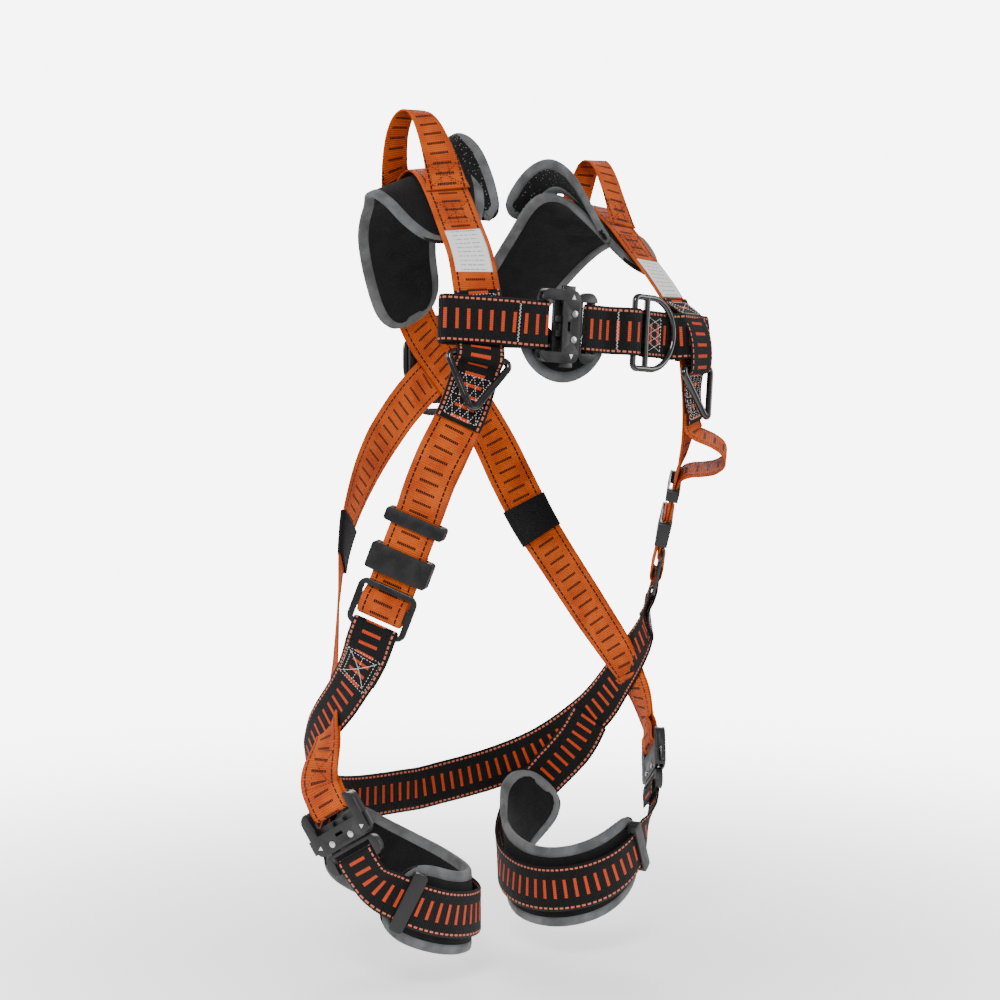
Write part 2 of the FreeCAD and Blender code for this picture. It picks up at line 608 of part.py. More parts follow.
def tongue(label, placement):
    """A blade with a keyhole that the pawls stand in, and a frame with a bar for the webbing."""
    body = new_body(label)
    slab(body, "frame", "dims.base_low", "dims.frame_thick", "dims.frame_centre", "0",
         "dims.frame_long", "dims.frame_wide")
    rounded(body, "corners", "dims.corner")
    blade_centre = "dims.frame_centre - dims.frame_long / 2 + 1 - dims.blade_long / 2"
    slab(body, "blade", "dims.blade_low", "dims.blade_thick", blade_centre, "0",
         "dims.blade_long", "dims.blade_wide")
    window(body, "slot", "dims.base_low", "dims.frame_thick + 1", "dims.tongue_slot_centre", "0",
           "dims.slot_long", "dims.slot_wide")
    recess_centre = "dims.tongue_slot_centre + dims.slot_long / 2 + dims.frame_long / 2"
    window(body, "bar_recess", "dims.base_low + dims.base_thick", "dims.frame_thick", recess_centre, "0",
           "dims.frame_long", "dims.slot_wide")
    for part, centre in (("neck", "dims.neck_centre"), ("head", "dims.head_centre")):
        window(body, "keyhole_" + part, "dims.blade_low", "dims.blade_thick + 1", centre, "0",
               f"dims.{part}_long", f"dims.{part}_wide")
    return keep(body, label, placement)


def tab(label, placement, sign):
    """A side tab, its arm over the blade, and the pawl that hangs from the arm into the keyhole."""
    body = new_body(label)
    slab(body, "block", "dims.tab_low", "dims.tab_thick", "dims.tab_place",
         f"{sign} * (dims.tab_inner + dims.tab_deep / 2)", "dims.tab_long", "dims.tab_deep")
    slab(body, "arm", "dims.arm_low", "dims.arm_thick", "dims.pawl_place",
         f"{sign} * (dims.pawl_inner + dims.tab_inner + 1) / 2", "dims.pawl_long",
         "dims.tab_inner + 1 - dims.pawl_inner")
    slab(body, "pawl", "dims.blade_low", "dims.arm_low + dims.arm_thick - dims.blade_low", "dims.pawl_place",
         f"{sign} * (dims.pawl_inner + dims.pawl_wide / 2)", "dims.pawl_long", "dims.pawl_wide")
    window(body, "spring_way", "dims.tab_low", "dims.tab_thick + 1", "0",
           f"{sign} * (dims.tab_inner + dims.spring_deep / 2)", "dims.seat_long", "dims.spring_deep")
    return keep(body, label, placement)


ALONG_Y = FreeCAD.Rotation(UP, Vector(0, 1, 0))


def round_bar(label, radius, height, base, rotation=FreeCAD.Rotation()):
    """A plain cylinder whose radius and height are expressions, standing at base."""
    bar = doc.addObject("Part::Cylinder", label)
    bar.setExpression("Radius", radius)
    bar.setExpression("Height", height)
    bar.Placement = FreeCAD.Placement(base, rotation)
    return bar


def rivets(label, placement):
    """The two rivets that hold a receiver together, each a shank with a head at both ends."""
    group = []
    low, top, head = size["base_low"], size["stack_high"], size["head_thick"]
    long = "dims.stack_high - dims.base_low + dims.head_thick"
    for sign in (1, -1):
        y = sign * size["rivet_place"]
        stack = [("shank", "dims.rivet_radius", long, low - head / 2),
                 ("top", "dims.rivet_head", "dims.head_thick", top),
                 ("foot", "dims.rivet_head", "dims.head_thick", low - head)]
        pieces = [round_bar(f"{label}_{part}_{sign + 1}", radius, height, Vector(0, y, z))
                  for part, radius, height, z in stack]
        whole = doc.addObject("Part::MultiFuse", f"{label}_{sign + 1}")
        whole.Shapes = pieces
        group.append(whole)
    both = doc.addObject("Part::Compound", label)
    both.Links = group
    return keep(both, label, placement)


BUCKLES = {"chest_buckle": chest_buckle, "leg_buckle_r": leg_buckle["r"], "leg_buckle_l": leg_buckle["l"]}
for label, placement in BUCKLES.items():
    receiver_base(label + "_base", placement)
    receiver_cover(label + "_cover", placement)
    tongue(label + "_tongue", placement)
    tab(label + "_tab_a", placement, 1)
    tab(label + "_tab_b", placement, -1)
    rivets(label + "_rivets", placement)


# ---------------------------------------------------------------- adjusters, keepers and plate

def adjuster_frame(label, placement):
    body = new_body(label)
    slab(body, "plate", "dims.base_low", "dims.base_thick", "dims.adjuster_centre", "0",
         "dims.adjuster_long", "dims.adjuster_wide")
    rounded(body, "corners", "dims.corner")
    for row, long in (("upper", "dims.slot_long"), ("lower", "dims.lower_slot_long")):
        window(body, row + "_slot", "dims.base_low", "dims.base_thick", f"dims.{row}_slot_centre", "0",
               long, "dims.slot_wide")
    return keep(body, label, placement)


def sleeve(label, placement, long, wide, low, high):
    """A flat tube round the layers of a strap, running along x."""
    body = new_body(label)
    slab(body, "block", f"{low} - dims.sleeve_wall", f"{high} + 2 * dims.sleeve_wall", "0", "0", long, wide)
    rounded(body, "corners", "dims.sleeve_wall * 2")
    window(body, "tunnel", low, high, "0", "0", f"2 * {long}", "dims.tunnel_wide")
    return keep(body, label, placement)


def moved_along(placement, x):
    return FreeCAD.Placement(placement.multVec(Vector(x, 0, 0)), placement.Rotation)


for name in SIDES:
    adjuster_frame("adjuster_frame_" + name, adjuster[name])
    sleeve("adjuster_grip_" + name, moved_along(adjuster[name], GRIP_PLACE), "dims.grip_long",
           "dims.grip_wide", "dims.tunnel_low", "dims.tunnel_high")
    sleeve("strap_keeper_" + name, moved_along(adjuster[name], KEEPER_PLACE), "dims.keeper_long",
           "dims.keeper_wide", "dims.tunnel_low", "dims.tunnel_high")

    p, t, w, n, width = squared(leg_line(name))[LEG_KEEPER_ROW]
    sleeve("leg_keeper_" + name, frame_at(p, t, n), "dims.leg_keeper_long", "dims.keeper_wide",
           "dims.leg_tunnel_low", "dims.leg_tunnel_high")


def dorsal_plate(placement):
    """The back plate over the crossing of the straps, with two lugs for the ring's bar."""
    body = new_body("dorsal_plate_blank")
    slab(body, "plate", "0", "dims.plate_thick", "0", "0", "dims.plate_long", "dims.plate_wide")
    rounded(body, "corners", "dims.corner * 3")
    for sign in (1, -1):
        slab(body, f"lug_{sign + 1}", "dims.plate_thick - 1", "dims.lug_high", "dims.lug_place",
             f"{sign} * dims.lug_apart / 2", "dims.lug_long", "dims.lug_wide")
        window(body, f"slot_{sign + 1}", "0", "dims.plate_thick", f"{sign} * dims.plate_slot", "0",
               "dims.plate_slot_long", "dims.slot_wide")
    doc.recompute()
    start = Vector(size["lug_place"], -size["plate_wide"] / 2, size["lug_height"])
    pin = round_bar("lug_bore", "dims.dorsal_rod / 2 + dims.rivet_play", "dims.plate_wide", start, ALONG_Y)
    drilled = doc.addObject("Part::Cut", "dorsal_plate_drilled")
    drilled.Base = body
    drilled.Tool = pin
    return keep(drilled, "dorsal_plate", placement)


plate_place = frame_at(worn(DORSAL_PLACE), UP, Vector(0, 1, 0))
dorsal_plate(plate_place)
dorsal_hinge = FreeCAD.Placement(plate_place.multVec(Vector(size["lug_place"], 0, size["lug_height"])),
                                 plate_place.Rotation)


def d_wire(half, straight, turn, behind=0.0):
    """A closed D in the xy plane: its bar along y at x = -behind, its bow out towards +x."""
    bow = Part.Arc(Vector(straight, half, 0), Vector(straight + half, 0, 0), Vector(straight, -half, 0))
    corner = turn * (1 - cos(pi / 4))
    left, x = half - turn, -behind
    pieces = [
        Part.LineSegment(Vector(x, -left, 0), Vector(x, left, 0)),
        Part.Arc(Vector(x, left, 0), Vector(x + corner, half - corner, 0), Vector(x + turn, half, 0)),
        Part.LineSegment(Vector(x + turn, half, 0), Vector(straight, half, 0)), bow,
        Part.LineSegment(Vector(straight, -half, 0), Vector(x + turn, -half, 0)),
        Part.Arc(Vector(x + turn, -half, 0), Vector(x + corner, -half + corner, 0), Vector(x, -left, 0)),
    ]
    return Part.Wire([piece.toShape() for piece in pieces])


down = FreeCAD.Rotation(UP, 180)
sweep_rod("dorsal_ring", d_wire(DORSAL_HALF, DORSAL_STRAIGHT, DORSAL_TURN), "dims.dorsal_rod / 2",
          FreeCAD.Placement(dorsal_hinge.Base, dorsal_hinge.Rotation.multiply(down)))

front_hinge = {}
for name in SIDES:
    place = front_rows(name, [(RING_BAR_Z - 1, 0), (RING_BAR_Z, RING_BAR_LIFT), (RING_BAR_Z + 1, 0)])
    rise = (place[2][0] - place[0][0]).normalize()
    out = place[1][1]
    hang = rise * -cos(radians(RING_TILT)) + out * sin(radians(RING_TILT))
    front_hinge[name] = frame_at(place[1][0], hang, out)
    corners = [Vector(0, -RING_HALF, 0), Vector(0, RING_HALF, 0), Vector(RING_DEEP, 0, 0)]
    sweep_rod("front_ring_" + name, rounded_loop(corners, RING_TURN), "dims.ring_rod / 2", front_hinge[name])

chest_ring_place = FreeCAD.Placement(chest_ring_frame.multVec(Vector(0, 0, CHEST_RING_HEIGHT)),
                                     chest_ring_frame.Rotation)
hoop = sweep_rod("chest_ring_hoop", d_wire(CHEST_RING_HALF, CHEST_RING_STRAIGHT, RING_TURN, CHEST_RING_SLOT),
                 "dims.chest_rod / 2", None)
kept.remove(hoop)
bar = round_bar("chest_ring_bar", "dims.chest_rod / 2", f"{2 * CHEST_RING_HALF} mm",
                Vector(0, -CHEST_RING_HALF, 0), ALONG_Y)
whole = doc.addObject("Part::MultiFuse", "chest_ring")
whole.Shapes = [hoop, bar]
keep(whole, "chest_ring", chest_ring_place)

disc = round_bar("chest_pad_disc", "dims.pad_round", "dims.chest_pad_thick",
                 Vector(0, 0, size["chest_pad_low"]))
block = doc.addObject("Part::Box", "chest_pad_block")
for key, text in (("Length", "2 * dims.pad_round"), ("Width", "dims.pad_round + dims.pad_rise"),
                  ("Height", "dims.chest_pad_thick")):
    block.setExpression(key, text)
block_corner = Vector(-size["pad_round"], -size["pad_round"], size["chest_pad_low"])
block.Placement = FreeCAD.Placement(block_corner, FreeCAD.Rotation())
half_round = doc.addObject("Part::Common", "chest_pad")
half_round.Base = disc
half_round.Tool = block
keep(half_round, "chest_pad", chest_buckle)


SPRING_PLAY = 0.1                  # between a spring's end and its seat


def springs():
    """The coil spring under each of the six tabs."""
    coils = []
    for placement in BUCKLES.values():
        for sign in (1, -1):
            start = size["seat_place"] + size["seat_thick"] / 2 + SPRING_PLAY
            length = size["tab_inner"] + size["spring_deep"] - start - 2 * size["spring_wire"]
            middle = size["tab_low"] + size["tab_thick"] / 2
            helix = Part.makeHelix(size["spring_pitch"], length, size["spring_radius"])
            wire_start = Vector(size["spring_radius"], 0, 0)
            section = Part.makeCircle(size["spring_wire"] / 2, wire_start, Vector(0, 1, 0))
            coil = Part.Wire(helix).makePipeShell([Part.Wire(section)], True, True)
            foot = Vector(0, sign * (start + size["spring_wire"]), middle)
            coil.Placement = placement.multiply(
                FreeCAD.Placement(foot, FreeCAD.Rotation(UP, Vector(0, sign, 0))))
            coils.append(coil)
    feature = doc.addObject("Part::Feature", "tab_springs")
    feature.Shape = Part.makeCompound(coils)
    return keep(feature, "tab_springs")


springs()
doc.recompute()
failed = [o.Label for o in doc.Objects if "Invalid" in o.State or "Error" in o.State]
broken = [feature.Label for feature in kept if feature.Shape.isNull() or not feature.Shape.isValid()]
if failed or broken:
    raise RuntimeError(f"features that failed: {failed}; shapes that are null or not valid: {broken}")
for feature in kept:
    feature.Shape.exportStep(f"parts/{feature.Label}.step")
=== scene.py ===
# Looks for a full-body fall-arrest harness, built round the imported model.
# Strap and pad routes are in millimetres, as on a pattern sheet; every mesh is made in metres.
# +Z is up, the wearer faces -Y and their left is +X; names ending in _l are on their left.
import bpy
import json
from math import cos, sin, pi, radians
from mathutils import Matrix, Vector, noise


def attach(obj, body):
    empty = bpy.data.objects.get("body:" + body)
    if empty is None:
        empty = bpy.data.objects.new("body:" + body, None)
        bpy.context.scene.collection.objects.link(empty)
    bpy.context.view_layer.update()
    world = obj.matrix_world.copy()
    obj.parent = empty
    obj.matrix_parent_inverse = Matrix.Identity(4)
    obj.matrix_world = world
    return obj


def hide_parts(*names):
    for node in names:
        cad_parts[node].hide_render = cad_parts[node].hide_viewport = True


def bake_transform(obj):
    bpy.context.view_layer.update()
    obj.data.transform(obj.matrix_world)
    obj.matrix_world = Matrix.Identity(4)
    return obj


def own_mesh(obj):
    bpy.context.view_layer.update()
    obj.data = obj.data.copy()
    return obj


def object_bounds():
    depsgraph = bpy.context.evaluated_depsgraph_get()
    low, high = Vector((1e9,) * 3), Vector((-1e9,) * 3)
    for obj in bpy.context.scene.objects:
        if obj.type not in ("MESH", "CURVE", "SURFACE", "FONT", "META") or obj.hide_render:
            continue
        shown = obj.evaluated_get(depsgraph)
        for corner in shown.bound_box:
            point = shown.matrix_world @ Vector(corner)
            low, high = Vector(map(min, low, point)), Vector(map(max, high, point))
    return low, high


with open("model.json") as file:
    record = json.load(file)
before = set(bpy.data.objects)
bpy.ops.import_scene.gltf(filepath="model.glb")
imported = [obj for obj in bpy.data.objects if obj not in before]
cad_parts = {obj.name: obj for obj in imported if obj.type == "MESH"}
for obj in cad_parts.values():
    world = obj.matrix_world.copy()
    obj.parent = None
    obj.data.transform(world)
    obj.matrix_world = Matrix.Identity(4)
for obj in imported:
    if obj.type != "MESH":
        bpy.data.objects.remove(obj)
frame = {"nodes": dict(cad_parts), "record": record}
cad_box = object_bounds()
MM = 0.001
SIDES = {"r": -1, "l": 1}
HARNESS = "harness"


def added(name, data):
    """A new object, in the scene."""
    thing = bpy.data.objects.new(name, data)
    bpy.context.scene.collection.objects.link(thing)
    return thing


# -------------------- camera and stage

# the camera stands 35 degrees to the wearer's right and 4 degrees above the waist; metres and watts
CAMERA_TURN, CAMERA_RISE, CAMERA_FAR = radians(-35), radians(4), 2.4
AIM_RIGHT, AIM_UP = -0.017, 0.057
LENS, SENSOR = 86.4, 36.0
# name: (place, width, power)
LIGHTS = {
    "key": ((-1.9, -1.9, 1.9), 1.1, 74),
    "fill": ((2.3, -1.6, 0.9), 1.6, 30),
    "rim_l": ((1.5, 2.0, 1.6), 1.2, 44),
    "rim_r": ((-2.2, 1.7, 1.0), 1.2, 36),
    "low": ((-0.2, -2.6, -0.1), 1.6, 9),
}
ROOM_LIGHT, BACKDROP = 0.42, 7.0  # world strength on the object, and as the backdrop shows
FLOOR_NEAR, FLOOR_FAR, FLOOR_GLOW = 0.25, 1.7, 0.6
FLOOR_SIDES, FLOOR_DROP = 96, 0.03


def camera():
    flat = cos(CAMERA_RISE)
    back = Vector((sin(CAMERA_TURN) * flat, -cos(CAMERA_TURN) * flat, sin(CAMERA_RISE)))
    right = Vector((cos(CAMERA_TURN), sin(CAMERA_TURN), 0))
    up = back.cross(right)
    place = right * AIM_RIGHT + up * AIM_UP + back * CAMERA_FAR
    eye = added("camera", bpy.data.cameras.new("camera"))
    eye.data.lens, eye.data.sensor_width = LENS, SENSOR
    eye.matrix_world = Matrix.Translation(place) @ Matrix((right, up, back)).transposed().to_4x4()
    bpy.context.scene.camera = eye


def lights():
    for name, (place, width, power) in LIGHTS.items():
        light = added(name, bpy.data.lights.new(name, "AREA"))
        light.data.energy, light.data.size = power, width
        light.location = place
        light.rotation_euler = (-Vector(place)).to_track_quat("-Z", "Y").to_euler()


def backdrop():
    """A white world that the camera sees brighter than it lights the object."""
    world = bpy.data.worlds.new("studio")
    world.use_nodes = True
    tree = world.node_tree
    lit, seen = tree.nodes["Background"], tree.nodes.new("ShaderNodeBackground")
    for node, strength in ((lit, ROOM_LIGHT), (seen, BACKDROP)):
        node.inputs["Color"].default_value = (1, 1, 1, 1)
        node.inputs["Strength"].default_value = strength
    choose, ray = tree.nodes.new("ShaderNodeMixShader"), tree.nodes.new("ShaderNodeLightPath")
    tree.links.new(ray.outputs["Is Camera Ray"], choose.inputs["Fac"])
    tree.links.new(lit.outputs[0], choose.inputs[1])
    tree.links.new(seen.outputs[0], choose.inputs[2])
    tree.links.new(choose.outputs[0], tree.nodes["World Output"].inputs["Surface"])
    bpy.context.scene.world = world


def floor():
    """A pale round floor that fades out into the backdrop."""
    low = cad_box[0][2] - FLOOR_DROP
    turns = [2 * pi * k / FLOOR_SIDES for k in range(FLOOR_SIDES)]
    mesh = bpy.data.meshes.new("floor")
    rim = [(FLOOR_FAR * cos(a), FLOOR_FAR * sin(a), low) for a in turns]
    mesh.from_pydata(rim, [], [tuple(range(FLOOR_SIDES))])
    ground = added("floor", mesh)
    g = Graph("pale_floor", 0.9)
    g.put(g.shader.inputs["Base Color"], (0.92, 0.92, 0.92))
    g.put(g.shader.inputs["Emission Color"], (1, 1, 1))
    g.put(g.shader.inputs["Emission Strength"], FLOOR_GLOW)
    far = g.add("VectorMath", {"operation": "LENGTH"}, Vector=g.place()).outputs["Value"]
    mix = g.add("MixShader", Fac=g.ramp(far, FLOOR_NEAR, FLOOR_FAR))
    g.put(mix.inputs[1], g.shader.outputs[0])
    g.put(mix.inputs[2], g.add("BsdfTransparent").outputs[0])
    g.put(g.tree.nodes["Material Output"].inputs["Surface"], mix.outputs[0])
    mesh.materials.append(g.material)


# -------------------- materials


class Graph:
    """A material, and short names for building its node tree."""

    def __init__(self, name, rough, sheen=0.0, metal=0.0, coat=0.0, specular=0.5):
        self.material = bpy.data.materials.new(name)
        self.material.use_nodes = True
        self.tree = self.material.node_tree
        self.shader = self.tree.nodes["Principled BSDF"]
        for key, value in (("Roughness", rough), ("Sheen Weight", sheen), ("Metallic", metal),
                           ("Coat Weight", coat), ("Specular IOR Level", specular)):
            self.shader.inputs[key].default_value = value

    def add(self, kind, settings=None, **inputs):
        node = self.tree.nodes.new("ShaderNode" + kind)
        for key, value in (settings or {}).items():
            setattr(node, key, value)
        for key, value in inputs.items():
            self.put(node.inputs[key.replace("_", " ")], value)
        return node

    def put(self, socket, value):
        """Links or sets a socket; a colour is three numbers."""
        if isinstance(value, bpy.types.NodeSocket):
            self.tree.links.new(value, socket)
        else:
            socket.default_value = (*value, 1) if isinstance(value, tuple) else value

    def calc(self, operation, a, b=0.0):
        node = self.tree.nodes.new("ShaderNodeMath")
        node.operation = operation
        self.put(node.inputs[0], a)
        self.put(node.inputs[1], b)
        return node.outputs[0]

    def times(self, a, b):
        return self.calc("MULTIPLY", a, b)

    def plus(self, a, b):
        return self.calc("ADD", a, b)

    def off_middle(self, value, pitch):
        """How far a value is from the middle of its repeat, as a share of the pitch."""
        share = self.calc("FRACT", self.calc("DIVIDE", value, pitch))
        return self.calc("ABSOLUTE", self.calc("SUBTRACT", share, 0.5))

    def ribs(self, value, pitch):
        """A wave from 0 to 1 that repeats each pitch."""
        wave = self.calc("SINE", self.times(value, 2 * pi / pitch))
        return self.times(self.plus(wave, 1.0), 0.5)

    def ramp(self, value, low, high, first=0.0, last=1.0):
        """Smooth step of value from low to high, as first to last."""
        node = self.add("MapRange", {"interpolation_type": "SMOOTHSTEP"}, Value=value)
        for key, number in (("From Min", low), ("From Max", high), ("To Min", first), ("To Max", last)):
            node.inputs[key].default_value = number
        return node.outputs["Result"]

    def blend(self, share, a, b):
        node = self.add("Mix", {"data_type": "RGBA"})
        self.put(node.inputs["Factor"], share)
        self.put(node.inputs[6], a)
        self.put(node.inputs[7], b)
        return node.outputs[2]

    def noise(self, scale, where, detail=2.0):
        return self.add("TexNoise", Vector=where, Scale=scale, Detail=detail).outputs["Fac"]

    def place(self):
        return self.add("TexCoord").outputs["Object"]

    def along_and_across(self):
        """A piece's own distances along and across its cloth, in metres."""
        split = self.add("SeparateXYZ", Vector=self.add("UVMap", {"uv_map": "web"}).outputs["UV"])
        return split.outputs["X"], split.outputs["Y"]

    def finish(self, colour=None, height=None, depth=0.0, rough=None):
        if colour is not None:
            self.put(self.shader.inputs["Base Color"], colour)
        if rough is not None:
            self.put(self.shader.inputs["Roughness"], rough)
        if height is not None:
            bump = self.add("Bump", Height=height, Distance=depth)
            self.put(self.shader.inputs["Normal"], bump.outputs["Normal"])
        return self.material


RIB, THREAD = 0.0021, 0.0011  # pitch of the webbing's ribs, and of the warp threads across them
DASH_PITCH, DASH_HALF = 0.0108, 0.0092  # woven dashes: pitch along the web, and half their length across it
STROKE_PITCH = 0.0019  # of the yarns that a dash is made of


def webbing(name, base, shade, dash, dash_deep, strokes, line, line_place, line_pitch, line_share, line_half):
    """Woven webbing: ribs with painted shade in their valleys, a row of dashes across the middle, and a
    broken line near each edge.
    """
    g = Graph(name, 0.72, sheen=0.04, specular=0.22)
    u, v = g.along_and_across()
    wide = g.calc("ABSOLUTE", v)

    ribs = g.ribs(u, RIB)
    height = g.plus(ribs, g.times(g.ribs(v, THREAD), 0.35))
    tone = g.ramp(g.noise(38.0, g.place()), 0.3, 0.7)
    fine = g.ramp(g.noise(900.0, g.place()), 0.3, 0.7)
    # partly painted shade and partly random tone: the colour falls from base to the shaded copy in the rib
    # valleys and in random patches
    painted_shade_share = g.plus(g.times(tone, 0.45), g.times(ribs, 0.4))
    painted_shade_share = g.times(g.plus(painted_shade_share, g.times(fine, 0.2)), 0.95)
    colour = g.blend(painted_shade_share, shade, base)

    in_dash = g.times(g.ramp(g.off_middle(u, DASH_PITCH), dash_deep, dash_deep + 0.03, 1.0, 0.0),
                     g.ramp(wide, DASH_HALF, DASH_HALF + 0.0004, 1.0, 0.0))
    stroke = g.ramp(g.off_middle(v, STROKE_PITCH), strokes, strokes + 0.08, 1.0, 0.12)
    in_dash = g.times(in_dash, stroke)
    colour = g.blend(in_dash, colour, dash)

    off_line = g.calc("ABSOLUTE", g.calc("SUBTRACT", wide, line_place))
    step = g.off_middle(u, line_pitch)
    in_line = g.times(g.ramp(off_line, line_half, line_half + 0.0003, 1.0, 0.0),
                     g.ramp(step, line_share, line_share + 0.05, 1.0, 0.0))
    colour = g.blend(in_line, colour, line)
    height = g.plus(height, g.times(g.plus(in_line, in_dash), 0.8))
    return g.finish(colour, height, 0.00035, g.ramp(fine, 0.0, 1.0, 0.62, 0.85))


def cloth(name, base, light, scale, depth, dots=0.0):
    """Knitted or mesh fabric. With dots, light yarn shows through in small cells."""
    g = Graph(name, 0.85, sheen=0.05, specular=0.25)
    where = g.place()
    cells = g.add("TexVoronoi", {"feature": "F1"}, Vector=where, Scale=scale).outputs["Distance"]
    cell = g.ramp(cells, 0.12, 0.5)
    tone = g.ramp(g.noise(60.0, where), 0.25, 0.75)
    colour = g.blend(g.times(tone, 0.5), base, light)
    if dots:
        colour = g.blend(g.ramp(cells, dots, dots + 0.1, 1.0, 0.0), base, light)
    return g.finish(colour, cell, depth, g.ramp(tone, 0.0, 1.0, 0.75, 0.93))


def tape(name, base, light):
    """Folded binding tape: fine ribs across it and a soft sheen."""
    g = Graph(name, 0.8, sheen=0.08, specular=0.25)
    where = g.place()
    weave = g.add("TexVoronoi", {"feature": "F1"}, Vector=where, Scale=850.0).outputs["Distance"]
    tone = g.ramp(g.noise(45.0, where), 0.3, 0.7)
    return g.finish(g.blend(tone, base, light), weave, 0.0002, g.ramp(tone, 0.0, 1.0, 0.72, 0.9))


def coated(name, base, light, rough, grain, depth, metal=0.0, coat=0.0):
    """Coated metal or moulded plastic: a fine grain, and a painted highlight that makes edges a little
    lighter.
    """
    g = Graph(name, rough, metal=metal, coat=coat)
    where = g.place()
    speckle = g.noise(grain, where, 3.0)
    tone = g.ramp(g.noise(70.0, where, 4.0), 0.35, 0.7)
    # painted highlight: convex edges are painted towards the light colour, mixed with random tone
    edge = g.ramp(g.add("NewGeometry").outputs["Pointiness"], 0.52, 0.6)
    colour = g.blend(g.plus(g.times(tone, 0.3), g.times(edge, 0.6)), base, light)
    return g.finish(colour, speckle, depth, g.ramp(tone, 0.0, 1.0, max(0.05, rough - 0.07), rough + 0.08))


def thread(name, base, light):
    g = Graph(name, 0.6, sheen=0.05)
    twist = g.noise(1500.0, g.place())
    return g.finish(g.blend(twist, base, light), twist, 0.0001)


TEXT_ROW, TEXT_HALF = 0.0052, 0.0115  # pitch of a label's grey lines, and half their length
WORDS_PER_METRE = 420.0


def label_face():
    """A white woven label with generic grey lines in place of print."""
    g = Graph("label_face", 0.6, sheen=0.15, specular=0.3)
    u, v = g.along_and_across()
    letters = g.add("CombineXYZ", X=g.times(v, WORDS_PER_METRE),
                    Y=g.calc("FLOOR", g.calc("DIVIDE", u, TEXT_ROW)))
    words = g.ramp(g.add("TexNoise", Vector=letters.outputs["Vector"], Scale=1.0).outputs["Fac"], 0.44, 0.5)
    ink = g.times(g.ramp(g.off_middle(u, TEXT_ROW), 0.10, 0.15, 1.0, 0.0),
                 g.ramp(g.calc("ABSOLUTE", v), TEXT_HALF, TEXT_HALF + 0.001, 0.9, 0.0))
    weave = g.add("TexVoronoi", Vector=g.place(), Scale=1400.0).outputs["Distance"]
    colour = g.blend(g.times(ink, words), (0.86, 0.86, 0.85), (0.30, 0.31, 0.33))
    return g.finish(colour, weave, 0.00008)


ORANGE = webbing("orange_webbing", (0.74, 0.125, 0.004), (0.30, 0.022, 0.0008),
    dash=(0.006, 0.0015, 0.001), dash_deep=0.10, strokes=0.34,
    line=(0.005, 0.001, 0.001), line_place=0.0165, line_pitch=0.0056,
    line_share=0.36, line_half=0.0006)
BLACK = webbing("black_webbing", (0.0042, 0.0032, 0.0034), (0.0012, 0.0010, 0.0011),
    dash=(0.66, 0.060, 0.010), dash_deep=0.13, strokes=0.40,
    line=(0.60, 0.16, 0.10), line_place=0.0192, line_pitch=0.0052,
    line_share=0.30, line_half=0.0008)
PAD_FACE = cloth("pad_face", (0.0018, 0.0018, 0.002), (0.0065, 0.0065, 0.007), 700.0, 0.0003)
PAD_MESH = cloth("pad_mesh", (0.0025, 0.0025, 0.003), (0.20, 0.20, 0.19), 300.0, 0.0012, dots=0.13)
BINDING = tape("binding_tape", (0.075, 0.078, 0.080), (0.150, 0.155, 0.158))
GLOSS = coated("ring_coating", (0.0022, 0.0022, 0.0024), (0.010, 0.010, 0.011),
    0.15, 300.0, 0.00002, coat=0.7)
MATT = coated("buckle_coating", (0.0060, 0.0058, 0.0064), (0.026, 0.026, 0.028),
    0.40, 2200.0, 0.00008, coat=0.1)
SATIN = coated("tab_coating", (0.010, 0.010, 0.011), (0.040, 0.040, 0.042),
    0.32, 1800.0, 0.00005, coat=0.2)
NYLON = coated("moulded_nylon", (0.0040, 0.0038, 0.0042), (0.018, 0.018, 0.019), 0.45, 1500.0, 0.0001)
STEEL = coated("rivet_steel", (0.62, 0.62, 0.63), (0.80, 0.80, 0.80), 0.22, 900.0, 0.00003, metal=1.0)
WIRE = coated("spring_wire", (0.42, 0.42, 0.44), (0.62, 0.62, 0.62), 0.28, 900.0, 0.00003, metal=1.0)
WHITE_THREAD = thread("white_thread", (0.50, 0.42, 0.40), (0.80, 0.76, 0.74))
BLACK_THREAD = thread("black_thread", (0.003, 0.002, 0.002), (0.012, 0.008, 0.008))
PRINT = coated("white_print", (0.74, 0.74, 0.74), (0.85, 0.85, 0.85), 0.5, 900.0, 0.00002)
LABEL_FACE = label_face()

# -------------------- the wearer's stance

HIP_SHIFT = 34.0  # how far the waist and hips stand to the wearer's right
CHEST_Z, WAIST_Z = 230.0, 0.0
HIP_LEAN, LEAN_PER_MM = 0.07, 0.0006
LEFT_SHARE = 0.93  # the wearer is turned a little, so their left side is drawn in


def hip_shift(z):
    share = min(1.0, max(0.0, (CHEST_Z - z) / (CHEST_Z - WAIST_Z)))
    return HIP_SHIFT * share * share * (3 - 2 * share)


def lean(z):
    return HIP_LEAN - LEAN_PER_MM * max(0.0, z)


def worn(p):
    """An upright wearer's point, moved to where it is on the leaning wearer."""
    x = p.x * LEFT_SHARE if p.x > 0 else p.x
    return Vector((x - hip_shift(p.z), p.y, p.z + x * lean(p.z)))


# -------------------- routes

